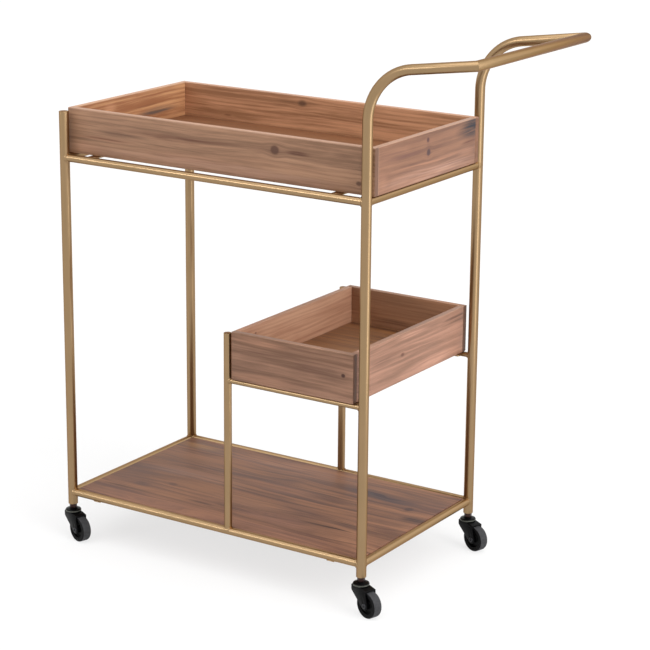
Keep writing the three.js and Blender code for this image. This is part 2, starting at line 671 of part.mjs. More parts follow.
function buildCasters(cart) {
  for (const { corner, x, y } of LEGS) {
    const caster = new THREE.Group();
    caster.position.set(x, y, 0);
    addPiece(caster, `${corner}_leg_insert`, legInsert(), BLACK_PLASTIC);
    addPiece(caster, `${corner}_caster_stem`, casterStem(), BLACK_STEEL);
    const swivel = new THREE.Group();
    swivel.rotation.z = THREE.MathUtils.degToRad(SWIVEL_DEGREES);
    addPiece(swivel, `${corner}_caster_fork`, casterFork(), BLACK_STEEL);
    addPiece(swivel, `${corner}_caster_axle`, casterAxle(), BLACK_STEEL);
    addPiece(swivel, `${corner}_wheel_hub`, wheelHub(), BLACK_PLASTIC);
    addPiece(swivel, `${corner}_wheel_tyre`, wheelTyre(), GREY_RUBBER);
    caster.add(swivel);
    cart.add(caster);
  }
}

const cart = new THREE.Group();
buildLegs(cart);
buildRailFrame(cart, "shelf", SHELF_RAIL_HEIGHT, SHELF_LUG_TOP, -RAIL_RADIUS);
buildRailFrame(cart, "top", TOP_RAIL_HEIGHT, TOP_LUG_TOP, RAIL_RADIUS * UPPER_LUG_BEGIN_SHARE);
buildMidSupport(cart);
buildTrays(cart);
buildShelf(cart);
buildCasters(cart);

// The part's origin is on the floor, under the middle of its box.
const part = new THREE.Group();
part.add(cart);
const box = new THREE.Box3().setFromObject(part, true);
const middle = box.getCenter(new THREE.Vector3());
cart.position.set(-middle.x, -middle.y, -box.min.z);

export default part;
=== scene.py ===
"""Looks of a two-tier bar cart: gold tube frame, wooden trays and shelf, four swivel casters.

Every size is in millimetres and becomes metres where a mesh is made. The part's frame has +X along
the cart towards the handle, +Y from its front to its back, and +Z up.
"""

import logging
import math
from contextlib import contextmanager
from dataclasses import dataclass, field
from enum import Enum
from typing import Callable, Iterator, Mapping, Sequence

import bmesh
import bpy
from mathutils import Matrix, Vector


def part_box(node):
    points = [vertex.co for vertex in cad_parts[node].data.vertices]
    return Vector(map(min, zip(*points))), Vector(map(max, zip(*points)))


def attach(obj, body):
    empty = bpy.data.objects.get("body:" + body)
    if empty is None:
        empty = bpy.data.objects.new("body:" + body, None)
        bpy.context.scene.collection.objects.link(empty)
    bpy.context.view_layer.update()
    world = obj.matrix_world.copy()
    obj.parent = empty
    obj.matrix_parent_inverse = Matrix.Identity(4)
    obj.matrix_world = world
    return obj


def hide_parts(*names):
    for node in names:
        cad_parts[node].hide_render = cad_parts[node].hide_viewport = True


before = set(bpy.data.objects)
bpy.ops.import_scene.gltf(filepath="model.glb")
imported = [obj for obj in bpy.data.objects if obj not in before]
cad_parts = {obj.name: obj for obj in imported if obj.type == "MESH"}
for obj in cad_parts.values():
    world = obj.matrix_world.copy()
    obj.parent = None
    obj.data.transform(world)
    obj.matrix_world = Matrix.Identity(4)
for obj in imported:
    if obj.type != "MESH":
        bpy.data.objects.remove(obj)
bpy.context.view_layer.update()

LOG = logging.getLogger("bar_cart")
CORNERS = ("front_left", "back_left", "front_right", "back_right")
UP = Vector((0, 0, 1))
MM = 0.001
MERGE_DISTANCE = MM / 1000
SHARP_ANGLE = math.radians(35)  # edges flatter than this are shaded smooth and are never picked
FACING = 0.999  # the least cosine at which a face counts as facing an axis
OVERRUN = 5.0  # how far a cutter stands out past what it cuts, mm
NOISE_SPREAD = {"From Min": 0.3, "From Max": 0.7}  # nearly all of a noise texture lies in here

# What makes a board's tone uneven: streaks first and fibre last. Each row has the size of the
# patches along, across and through the board, mm, and how far they swing the tone.
TONE_LAYERS = (
    ((210, 60, 60), 1.2),
    ((330, 15, 30), 1.5),
    ((200, 4.5, 9), 1.1),
    ((40, 1.4, 1.4), 0.6),
    ((28, 0.5, 0.5), 0.6),
)

Piece = bpy.types.Object
Material = bpy.types.Material
Tree = bpy.types.NodeTree
Socket = bpy.types.NodeSocket
Pair = tuple[float, float]
Triple = tuple[float, float, float]
Outline = tuple[Pair, ...]


class Way(Enum):
    """What a cutter does to a piece."""

    JOIN = "UNION"
    CUT = "DIFFERENCE"
    KEEP = "INTERSECT"


class Along(Enum):
    """How a board's grain lies, as axes: along the grain, across the face, through the board."""

    X_WALL = ("X", "Z", "Y")
    Y_WALL = ("Y", "Z", "X")
    X_PANEL = ("X", "Y", "Z")


# Modelling


def only(piece: Piece) -> None:
    """Selects one piece and nothing else."""
    bpy.ops.object.select_all(action="DESELECT")
    piece.select_set(True)
    bpy.context.view_layer.objects.active = piece


@contextmanager
def editing(piece: Piece, kind: str = "FACE") -> Iterator[None]:
    """Opens a piece in edit mode with nothing selected.

    Args:
        piece: the piece to shape.
        kind: what is selected in there, VERT, EDGE or FACE.
    """
    only(piece)
    bpy.ops.object.mode_set(mode="EDIT")
    bpy.ops.mesh.select_mode(type=kind)
    bpy.ops.mesh.select_all(action="DESELECT")
    yield
    bpy.ops.object.mode_set(mode="OBJECT")


def round_edges(
    piece: Piece, test: Callable[[Vector, Vector], bool], radius: float, segments: int
) -> None:
    """Rounds the sharp edges of a piece whose two ends pass a test.

    Args:
        piece: the piece.
        test: takes the two ends of an edge, mm.
        radius: how far the rounding reaches from the edge, mm.
        segments: how many flats make the rounding.
    """
    with editing(piece, "EDGE"):
        mesh = bmesh.from_edit_mesh(piece.data)
        for edge in mesh.edges:
            sharp = edge.calc_face_angle(0.0) > SHARP_ANGLE
            edge.select_set(sharp and test(*(vertex.co / MM for vertex in edge.verts)))
        bmesh.update_edit_mesh(piece.data)
        bpy.ops.mesh.bevel(offset=radius * MM, segments=segments, affect="EDGES")


def extrude(move: Vector) -> None:
    """Extrudes what is selected by a move in millimetres."""
    bpy.ops.mesh.extrude_region_move(TRANSFORM_OT_translate={"value": move * MM})


def seal() -> None:
    """Merges the doubles of the mesh in edit mode, turns its faces outwards and leaves it."""
    bpy.ops.mesh.select_all(action="SELECT")
    bpy.ops.mesh.remove_doubles(threshold=MERGE_DISTANCE)
    bpy.ops.mesh.normals_make_consistent(inside=False)
    bpy.ops.object.mode_set(mode="OBJECT")


def named(name: str) -> Piece:
    """Names the active object and its mesh, fixes its place in its mesh and returns it."""
    piece = bpy.context.view_layer.objects.active
    piece.name = name
    piece.data.name = name
    only(piece)
    bpy.ops.object.transform_apply(location=True, rotation=True, scale=True)
    return piece


def settle(piece: Piece, matrix: Matrix, name: str) -> Piece:
    """Moves and turns a piece by a matrix, in its mesh, and names it."""
    piece.matrix_world = matrix
    only(piece)
    return named(name)


def shift(move: Sequence[float]) -> Matrix:
    """The matrix of a move in millimetres."""
    return Matrix.Translation(Vector(move) * MM)


def turn_about(axis: str, degrees: float) -> Matrix:
    """The matrix of a turn about an axis through the origin."""
    return Matrix.Rotation(math.radians(degrees), 4, axis)


def copy_to(pattern: Piece, name: str, place: Sequence[float], turn: float = 0.0) -> Piece:
    """Copies a piece that was modelled round the origin.

    Args:
        pattern: the piece to copy.
        name: the copy's name.
        place: where the origin goes, mm.
        turn: how far the copy is turned about the Z axis, degrees.

    Returns:
        The copy, with its own mesh and its place in it.
    """
    only(pattern)
    bpy.ops.object.duplicate(linked=False)
    return settle(bpy.context.object, shift(place) @ turn_about("Z", turn), name)


def discard(*pieces: Piece) -> None:
    """Removes patterns that only their copies stand for."""
    for piece in pieces:
        bpy.data.objects.remove(piece)


def add_block(name: str, low: Sequence[float], high: Sequence[float]) -> Piece:
    """Adds a block between two corners in millimetres."""
    bpy.ops.mesh.primitive_cube_add(size=1, location=(Vector(low) + Vector(high)) / 2 * MM)
    bpy.context.object.scale = (Vector(high) - Vector(low)) * MM
    return named(name)


def add_rod(
    name: str, start: Sequence[float], end: Sequence[float], radius: float, sides: int = 48
) -> Piece:
    """Adds a solid round bar.

    Args:
        name: the piece's name.
        start: the middle of one end, mm.
        end: the middle of the other end, mm.
        radius: the bar's radius, mm.
        sides: how many flats stand for its roundness.

    Returns:
        The bar, with its ends closed.
    """
    run = Vector(end) - Vector(start)
    bpy.ops.mesh.primitive_cylinder_add(
        vertices=sides,
        radius=radius * MM,
        depth=run.length * MM,
        location=(Vector(start) + run / 2) * MM,
        rotation=run.to_track_quat("Z", "Y").to_euler(),
    )
    return named(name)


def draw_line(points: Sequence[Triple], closed: bool = False) -> None:
    """Draws a chain of vertices in a new object, which stays in edit mode.

    Args:
        points: the vertices, mm.
        closed: whether the last vertex is joined to the first.
    """
    bpy.ops.object.select_all(action="DESELECT")
    bpy.ops.mesh.primitive_plane_add(size=MM)
    bpy.ops.object.mode_set(mode="EDIT")
    bpy.ops.mesh.select_mode(type="VERT")
    bpy.ops.mesh.merge(type="CENTER")
    here = Vector(points[0])
    bpy.ops.transform.translate(value=here * MM)
    for point in points[1:]:
        extrude(Vector(point) - here)
        here = Vector(point)
    if closed:
        mesh = bmesh.from_edit_mesh(bpy.context.object.data)
        for vertex in mesh.verts:
            vertex.select_set(len(vertex.link_edges) == 1)
        bmesh.update_edit_mesh(bpy.context.object.data)
        bpy.ops.mesh.edge_face_add()
    bpy.ops.mesh.select_all(action="SELECT")


def turn_profile(
    name: str, profile: Sequence[Pair], sides: int = 48, closed: bool = False
) -> Piece:
    """Turns a profile about the Z axis, as on a lathe.

    Args:
        name: the piece's name.
        profile: pairs of radius and height, mm. It starts and ends on the axis, or is closed.
        sides: how many steps make the full turn.
        closed: whether the last point joins the first, for a ring.

    Returns:
        The turned piece, closed and with its faces outwards.
    """
    draw_line([(radius, 0.0, height) for radius, height in profile], closed)
    full_turn = {"angle": math.tau, "center": (0, 0, 0), "axis": UP}
    bpy.ops.mesh.spin(steps=sides, use_auto_merge=True, **full_turn)
    seal()
    return named(name)


def set_off(outline: Outline, radius: float, height: float) -> list[Pair]:
    """An outline whose points were given from a radius and a height, mm."""
    return [(radius + across, height + up) for across, up in outline]


def both_sides(half: Sequence[Pair]) -> list[Pair]:
    """A profile that is the same above and below its middle, from its upper half."""
    return [(radius, -height) for radius, height in half] + list(reversed(half))


def cut_plate(name: str, outline: Sequence[Triple], depth: Triple) -> Piece:
    """Cuts a plate to an outline.

    Args:
        name: the piece's name.
        outline: the corners of one face, mm.
        depth: the way from that face to the other, mm.

    Returns:
        The plate, closed and with its faces outwards.
    """
    draw_line(outline, closed=True)
    bpy.ops.mesh.edge_face_add()
    bpy.ops.mesh.select_all(action="SELECT")
    extrude(Vector(depth))
    seal()
    return named(name)


def modify(piece: Piece, kind: str, **settings: object) -> None:
    """Adds a modifier with its settings to a piece and applies it."""
    only(piece)
    bpy.ops.object.modifier_add(type=kind)
    modifier = piece.modifiers[-1]
    for key, value in settings.items():
        setattr(modifier, key, value)
    bpy.ops.object.modifier_apply(modifier=modifier.name)


def carve(piece: Piece, cutter: Piece, way: Way = Way.CUT) -> None:
    """Works a piece with a cutter, which is used up."""
    modify(piece, "BOOLEAN", operation=way.value, solver="EXACT", object=cutter)
    discard(cutter)


def ease(piece: Piece, width: float, segments: int = 3, angle: float = 40) -> None:
    """Rounds every edge that is sharper than an angle.

    Args:
        piece: the piece.
        width: how far the rounding reaches from the edge, mm.
        segments: how many flats make the rounding.
        angle: the least angle between two faces that counts as an edge, degrees.
    """
    limit = {"limit_method": "ANGLE", "angle_limit": math.radians(angle)}
    modify(piece, "BEVEL", width=width * MM, segments=segments, **limit)


def bore_end(piece: Piece, axis: Vector, wall: float, depth: float) -> None:
    """Bores the end of a bar that faces along an axis, so that it shows a tube's wall.

    Args:
        piece: the bar.
        axis: the direction that the end faces.
        wall: the tube's wall, mm.
        depth: how deep the bore goes, mm.
    """
    with editing(piece):
        mesh = bmesh.from_edit_mesh(piece.data)
        for face in mesh.faces:
            face.select_set(face.normal.dot(axis) > FACING)
        bmesh.update_edit_mesh(piece.data)
        bpy.ops.mesh.inset(thickness=wall * MM, depth=0)
        extrude(-axis * depth)


def span(node: str) -> tuple[Vector, Vector]:
    """The lowest and highest corner of a CAD node, mm."""
    low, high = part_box(node)
    return low / MM, high / MM


def middle_of(node: str) -> Vector:
    """The middle of a CAD node's box, mm."""
    low, high = span(node)
    return (low + high) / 2


def leg_place(corner: str, height: float = 0.0) -> Vector:
    """The point on a leg's axis at a height, mm, from the plug in the leg's foot."""
    x, y, _ = middle_of(f"{corner}_leg_insert")
    return Vector((x, y, height))


# Finishes


def linear(colour: str) -> tuple[float, float, float, float]:
    """Turns an sRGB colour, as six hex digits, to the linear values that a shader reads."""
    parts = [int(colour[i : i + 2], 16) / 255 for i in (1, 3, 5)]
    red, green, blue = (
        part / 12.92 if part <= 0.04045 else ((part + 0.055) / 1.055) ** 2.4 for part in parts
    )
    return red, green, blue, 1.0


def add_node(
    tree: Tree, kind: str, inputs: Mapping, output: str | int = 0, **settings: object
) -> Socket | None:
    """Adds a shader node to a tree.

    Args:
        tree: the tree of a material or of the world.
        kind: the node's type, without the words that all types begin with.
        inputs: for each input, by name or number, the output to link to it or its value.
        output: the name or number of the output to return.
        settings: the node's own settings.

    Returns:
        One of the node's outputs, if it has any.
    """
    node = tree.nodes.new(f"ShaderNode{kind}")
    for key, value in settings.items():
        setattr(node, key, value)
    for key, value in inputs.items():
        if isinstance(value, Socket):
            tree.links.new(value, node.inputs[key])
        else:
            node.inputs[key].default_value = value
    return node.outputs[output] if node.outputs else None


def new_tree(name: str) -> tuple[Material, Tree]:
    """A new material with an empty tree."""
    material = bpy.data.materials.new(name)
    material.use_nodes = True
    material.node_tree.nodes.clear()
    return material, material.node_tree


def surface(tree: Tree, inputs: Mapping) -> None:
    """Ends a material's tree with a shader that has these inputs."""
    add_node(tree, "OutputMaterial", {"Surface": add_node(tree, "BsdfPrincipled", inputs)})


def millimetres(tree: Tree) -> Socket:
    """The place on the piece in millimetres, as a node's output."""
    place = add_node(tree, "TexCoord", {}, "Object")
    return add_node(tree, "VectorMath", {0: place, "Scale": 1 / MM}, operation="SCALE")


def mixed(tree: Tree, factor: Socket, first: object, second: object) -> Socket:
    """Two colours mixed by a factor, which is 1 where the second shows alone."""
    return add_node(tree, "Mix", {"Factor": factor, "A": first, "B": second}, 2, data_type="RGBA")


@dataclass(frozen=True)
class Surface:
    """A plain finish whose colour, roughness and relief vary with fine and broad noise.

    The noise is given by its grain in millimetres, so that it keeps its real size.
    """

    name: str
    colour: str
    shade: str
    broad_grain: float
    fine_grain: float
    relief: float
    roughness: Pair
    metallic: float = 0.0
    specular: float = 0.5
    edge_tint: str = "#ffffff"
    coat: float = 0.0
    coat_roughness: float = 0.1

    def make(self) -> Material:
        """Builds the material, which reads the piece's own coordinates."""
        material, tree = new_tree(self.name)
        place = millimetres(tree)
        broad, fine = (
            add_node(tree, "TexNoise", {"Vector": place, "Scale": 1 / grain, "Detail": detail})
            for grain, detail in ((self.broad_grain, 3.0), (self.fine_grain, 2.0))
        )
        tones = {"Factor": broad, "A": linear(self.colour), "B": linear(self.shade)}
        low, high = self.roughness
        polish = {"Value": broad, **NOISE_SPREAD, "To Min": low, "To Max": high}
        relief = {"Height": fine, "Strength": 1.0, "Distance": self.relief * MM}
        inputs = {
            "Base Color": add_node(tree, "Mix", tones, 2, data_type="RGBA"),
            "Roughness": add_node(tree, "MapRange", polish),
            "Metallic": self.metallic,
            "Specular IOR Level": self.specular,
            "Specular Tint": linear(self.edge_tint),
            "Coat Weight": self.coat,
            "Coat Roughness": self.coat_roughness,
            "Normal": add_node(tree, "Bump", relief),
        }
        surface(tree, inputs)
        return material


@dataclass(frozen=True)
class Mark:
    """A knot, a dark streak, a stain or a patch of painted light or shade on a board's face, as an
    ellipse.

    Its place is measured from the board's low corner, along the grain and across it, mm.
    """

    along: float
    across: float
    length: float
    width: float
    colour: str
    strength: float = 0.6
    softness: float = 0.8
    knot: bool = False

    def reach(self, tree: Tree, along: Socket, across: Socket) -> Socket:
        """How much of the mark there is at a point, from 0 outside it to 1 in its middle."""
        fit = {
            "Vector": add_node(tree, "CombineXYZ", {0: along, 1: across}),
            "Location": (-self.along / self.length, -self.across / self.width, 0.0),
            "Scale": (1 / self.length, 1 / self.width, 0.0),
        }
        scaled = add_node(tree, "Mapping", fit)
        distance = add_node(tree, "VectorMath", {0: scaled}, "Value", operation="LENGTH")
        fade = {"Value": distance, "From Min": 1.0, "From Max": 1.0 - self.softness}
        return add_node(tree, "MapRange", fade, interpolation_type="SMOOTHSTEP")

    def lay_stain_and_light(self, tree: Tree, colour: Socket, amount: Socket) -> Socket:
        """The colour with the mark laid over it."""
        strength = {0: amount, 1: self.strength}
        factor = add_node(tree, "Math", strength, operation="MULTIPLY", use_clamp=True)
        return mixed(tree, factor, colour, linear(self.colour))


@dataclass(frozen=True)
class Grain:
    """Planed and stained fir: pale early wood, darker late wood lines and streaks of tone.

    Growth rings on a flat-sawn face lie 3 to 12 mm apart and run the board's length. They waver by
    a few millimetres and part round the knots. The upper edge is painted paler, to a depth in mm:
    partly wear, and partly a painted highlight where the light catches the rim. The end grain of
    the long boards drinks more stain and turns dark, from end_fade mm off the end. The fibre is
    0.5 mm wide, and a coarser one of 1.4 mm is drawn with it so that it shows from a distance. The
    sheen is the roughness of early and of late wood, which stands proud.
    """

    name: str
    light: str
    dark: str
    seed: float
    contrast: float = 1.0
    sway: float = 16.0
    ring_spacing: float = 9.0
    ring_strength: float = 0.09
    # The paler upper edge and the side boards' pale ends: partly wear, partly a painted highlight
    # of the lit rim.
    edge_wear_highlight: float = 1.6
    edge_wear_highlight_colour: str = "#b8937c"
    edge_wear_highlight_strength: float = 0.7
    end_grain: str = "#5e4032"
    end_stain: float = 0.8
    end_fade: Pair = (0.9, 0.3)
    knot_reach: Pair = (2.6, 2.2)
    knot_pull: float = -0.5
    sheen: Pair = (0.62, 0.5)
    proud: float = 0.12
    marks: tuple[Mark, ...] = ()

    def make(self, run: Along, low: Vector, high: Vector) -> Material:
        """Builds the material for one board.

        Args:
            run: how the board's grain and faces lie.
            low: the board's low corner, mm.
            high: the board's high corner, mm.

        Returns:
            The material, which reads the board's own coordinates.
        """
        material, tree = new_tree(self.name)
        corner = {0: millimetres(tree), 1: tuple(low)}
        shifted = add_node(tree, "VectorMath", corner, operation="SUBTRACT")
        parts = add_node(tree, "SeparateXYZ", {0: shifted}).node.outputs
        along, across, through = (parts[axis] for axis in run.value)
        line = self.waver(tree, along, across, through)
        tone = self.tone(tree, along, line, through)
        colour = mixed(tree, tone, linear(self.light), linear(self.dark))
        uptake = self.uptake(tree, along, line)
        for mark in self.marks:
            amount = mark.reach(tree, along, across if mark.knot else line)
            # Every mark but a knot follows the grain's uptake: the stains, and the painted light
            # and shade as well.
            if not mark.knot:
                amount = add_node(tree, "Math", {0: amount, 1: uptake}, operation="MULTIPLY")
            colour = mark.lay_stain_and_light(tree, colour, amount)
        if run is not Along.X_PANEL:
            length, height = ((high - low)["XYZ".index(axis)] for axis in run.value[:2])
            colour = self.edged(tree, colour, run, (along, length), (across, height))
        self.varnish(tree, colour, tone)
        return material

    def noise(
        self, tree: Tree, at: Sequence[Socket | float], size: Triple, detail: float, drift: Triple
    ) -> Socket:
        """Noise that is drawn out along the grain.

        Args:
            tree: the board's tree.
            at: the point's place along, across and through the board, mm.
            size: the size of the noise's patches each way, mm.
            detail: how many finer octaves it has.
            drift: how far the pattern is moved, in patches, so that no two boards are alike.

        Returns:
            The noise, from 0 to 1.
        """
        point = add_node(tree, "CombineXYZ", dict(enumerate(at)))
        scale = tuple(1 / patch for patch in size)
        stretched = add_node(tree, "Mapping", {"Vector": point, "Location": drift, "Scale": scale})
        return add_node(tree, "TexNoise", {"Vector": stretched, "Scale": 1.0, "Detail": detail})

    def waver(self, tree: Tree, along: Socket, across: Socket, through: Socket) -> Socket:
        """The place across the board that the grain line through a point started from, mm."""
        drift = (self.seed, self.seed / 2, 0.0)
        noise = self.noise(tree, (along, across, through), (300, 55, 55), 2.0, drift)
        noise.node.inputs["Roughness"].default_value = 0.4
        centred = add_node(tree, "Math", {0: noise, 1: 0.5}, operation="SUBTRACT")
        swing = {0: centred, 1: self.sway, 2: across}
        line = add_node(tree, "Math", swing, operation="MULTIPLY_ADD")
        for knot in (mark for mark in self.marks if mark.knot):
            length, width = knot.length * self.knot_reach[0], knot.width * self.knot_reach[1]
            wide = Mark(knot.along, knot.across, length, width, knot.colour)
            nearness = wide.reach(tree, along, across)
            offset = add_node(tree, "Math", {0: across, 1: knot.across}, operation="SUBTRACT")
            pull = add_node(tree, "Math", {0: offset, 1: nearness}, operation="MULTIPLY")
            parted = {0: pull, 1: self.knot_pull, 2: line}
            line = add_node(tree, "Math", parted, operation="MULTIPLY_ADD")
        return line

    def tone(self, tree: Tree, along: Socket, line: Socket, through: Socket) -> Socket:
        """How dark the wood is at a point, from 0 to 1: growth rings, streaks and fibre."""
        total = 0.5
        for size, weight in TONE_LAYERS:
            drift = (self.seed * 3, self.seed, 0.0)
            noise = self.noise(tree, (along, line, through), size, 2.0, drift)
            swing = weight * self.contrast
            scaled = {0: noise, 1: swing, 2: total}
            raised = add_node(tree, "Math", scaled, operation="MULTIPLY_ADD")
            total = add_node(tree, "Math", {0: raised, 1: swing / 2}, operation="SUBTRACT")
        phase = {0: line, 1: math.tau / self.ring_spacing}
        ring = add_node(tree, "Math", phase, operation="MULTIPLY")
        wave = add_node(tree, "Math", {0: ring}, operation="SINE")
        lined = {0: wave, 1: self.ring_strength * self.contrast, 2: total}
        return add_node(tree, "Math", lined, operation="MULTIPLY_ADD", use_clamp=True)

    def uptake(self, tree: Tree, along: Socket, line: Socket) -> Socket:
        """How strongly a stain takes along each line of the grain, from 0.3 to 1.5."""
        at = (along, line, self.seed * 9)
        noise = self.noise(tree, at, (90, 3.4, 1), 3.0, (0.0, 0.0, 0.0))
        spread = {"Value": noise, **NOISE_SPREAD, "To Min": 0.3, "To Max": 1.5}
        return add_node(tree, "MapRange", spread)

    def edged(
        self,
        tree: Tree,
        colour: Socket,
        run: Along,
        length: tuple[Socket, float],
        height: tuple[Socket, float],
    ) -> Socket:
        """The colour with a standing board's paler upper edge, and its ends.

        The ends of the long boards show their end grain. The side boards only show the eased
        edges beside theirs, which are painted paler like the upper edge: partly wear and partly a
        painted highlight.

        Args:
            tree: the board's tree.
            colour: the colour so far.
            run: how the board's grain and faces lie.
            length: the place along the board and the board's length, mm.
            height: the place up the board and the board's height, mm.

        Returns:
            The colour.
        """
        # The pale upper edge and the pale ends of the side boards are partly wear and partly
        # painted highlight.
        edge_wear_highlight = (self.edge_wear_highlight_colour, self.edge_wear_highlight_strength)
        end = (self.end_grain, self.end_stain) if run is Along.X_WALL else edge_wear_highlight
        (along, far), (across, top) = length, height
        fade_start, fade_end = self.end_fade
        for place, start, stop, (tint, most) in (
            (across, top - self.edge_wear_highlight, top - self.edge_wear_highlight * 0.3, edge_wear_highlight),
            (along, far - fade_start, far - fade_end, end),
            (along, fade_start, fade_end, end),
        ):
            band = {"Value": place, "From Min": start, "From Max": stop, "To Max": most}
            colour = mixed(tree, add_node(tree, "MapRange", band), colour, linear(tint))
        return colour

    def varnish(self, tree: Tree, colour: Socket, tone: Socket) -> None:
        """Ends the tree with a shader: a thin matt varnish, with the late wood a little proud."""
        polish = {"Value": tone, "To Min": self.sheen[0], "To Max": self.sheen[1]}
        relief = {"Height": tone, "Strength": 0.5, "Distance": self.proud * MM}
        inputs = {
            "Base Color": colour,
            "Roughness": add_node(tree, "MapRange", polish),
            "Specular IOR Level": 0.3,
            "Normal": add_node(tree, "Bump", relief),
        }
        surface(tree, inputs)


# Steel tube with a gold metallic lacquer, sprayed and baked: a satin gold that stays warm at
# glancing angles, with a faint orange peel of about 1 mm under a thin clear top.
GOLD = Surface(
    "gold_lacquered_steel", "#a08360", "#957b58",
    broad_grain=60.0, fine_grain=1.1, relief=0.002, roughness=(0.28, 0.34), metallic=1.0,
    edge_tint="#b58a55", coat=0.35, coat_roughness=0.2,
)

# Pressed steel with a black electrophoretic coat: deep black, low gloss, slightly cloudy.
BLACK_STEEL = Surface(
    "black_coated_steel", "#060607", "#030304",
    broad_grain=9.0, fine_grain=0.6, relief=0.02, roughness=(0.25, 0.37), specular=0.09,
)

# The bearing's ring is bright steel that was only oiled, so it is a lighter, greenish grey.
BEARING_STEEL = Surface(
    "oiled_bearing_steel", "#5a5b55", "#474843",
    broad_grain=7.0, fine_grain=0.8, relief=0.02, roughness=(0.34, 0.45), metallic=0.8,
)

# The nut is blackened steel whose film has browned: dark bronze with small glints on its flats.
BROWNED_STEEL = Surface(
    "browned_steel", "#43302c", "#2b1f20",
    broad_grain=3.0, fine_grain=0.5, relief=0.03, roughness=(0.28, 0.42), metallic=0.9,
)

# The axle is a phosphated steel rivet: dark grey, with a glint where it was headed.
PHOSPHATED_STEEL = Surface(
    "phosphated_steel", "#3c3c3f", "#2a2a2d",
    broad_grain=3.0, fine_grain=0.4, relief=0.02, roughness=(0.3, 0.45), metallic=0.8,
)

# Moulded nylon of the wheel's hub and of the plugs: black, silky, with a fine spark-eroded grain.
BLACK_NYLON = Surface(
    "moulded_black_nylon", "#070708", "#040405",
    broad_grain=12.0, fine_grain=0.35, relief=0.015, roughness=(0.38, 0.46), specular=0.09,
)

# The tyre's moulded flanks: black thermoplastic rubber, smooth and nearly matt.
BLACK_RUBBER = Surface(
    "moulded_black_rubber", "#0b0b0d", "#070708",
    broad_grain=5.0, fine_grain=0.7, relief=0.03, roughness=(0.48, 0.6), specular=0.1,
)

# The tread is the same rubber in a cloudy grey, lighter than the flanks, rough and matt.
GREY_TREAD_RUBBER = Surface(
    "grey_tread_rubber", "#434345", "#28282a",
    broad_grain=3.5, fine_grain=0.7, relief=0.06, roughness=(0.64, 0.78), specular=0.2,
)

# Zinc-plated pan-head screws, seen under the trays and the shelf: bright, pale and cold.
ZINC = Surface(
    "zinc_plated_steel", "#a9a9a4", "#8f9090",
    broad_grain=2.0, fine_grain=0.4, relief=0.01, roughness=(0.25, 0.35), metallic=1.0,
)


def finish_piece(
    piece: Piece,
    body: str,
    material: Material,
    stands_for: Sequence[str] = (),
) -> None:
    """Dresses a piece and hangs it on its body.

    Args:
        piece: the finished mesh.
        body: the CAD body that it rides on.
        material: its finish.
        stands_for: the CAD nodes that it replaces.
    """
    only(piece)
    bpy.ops.object.shade_smooth_by_angle(angle=SHARP_ANGLE)
    piece.data.materials.clear()
    piece.data.materials.append(material)
    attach(piece, body)
    if stands_for:
        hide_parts(*stands_for)
    LOG.info("%s: %d faces on %s", piece.name, len(piece.data.polygons), body)


# Sub-assemblies


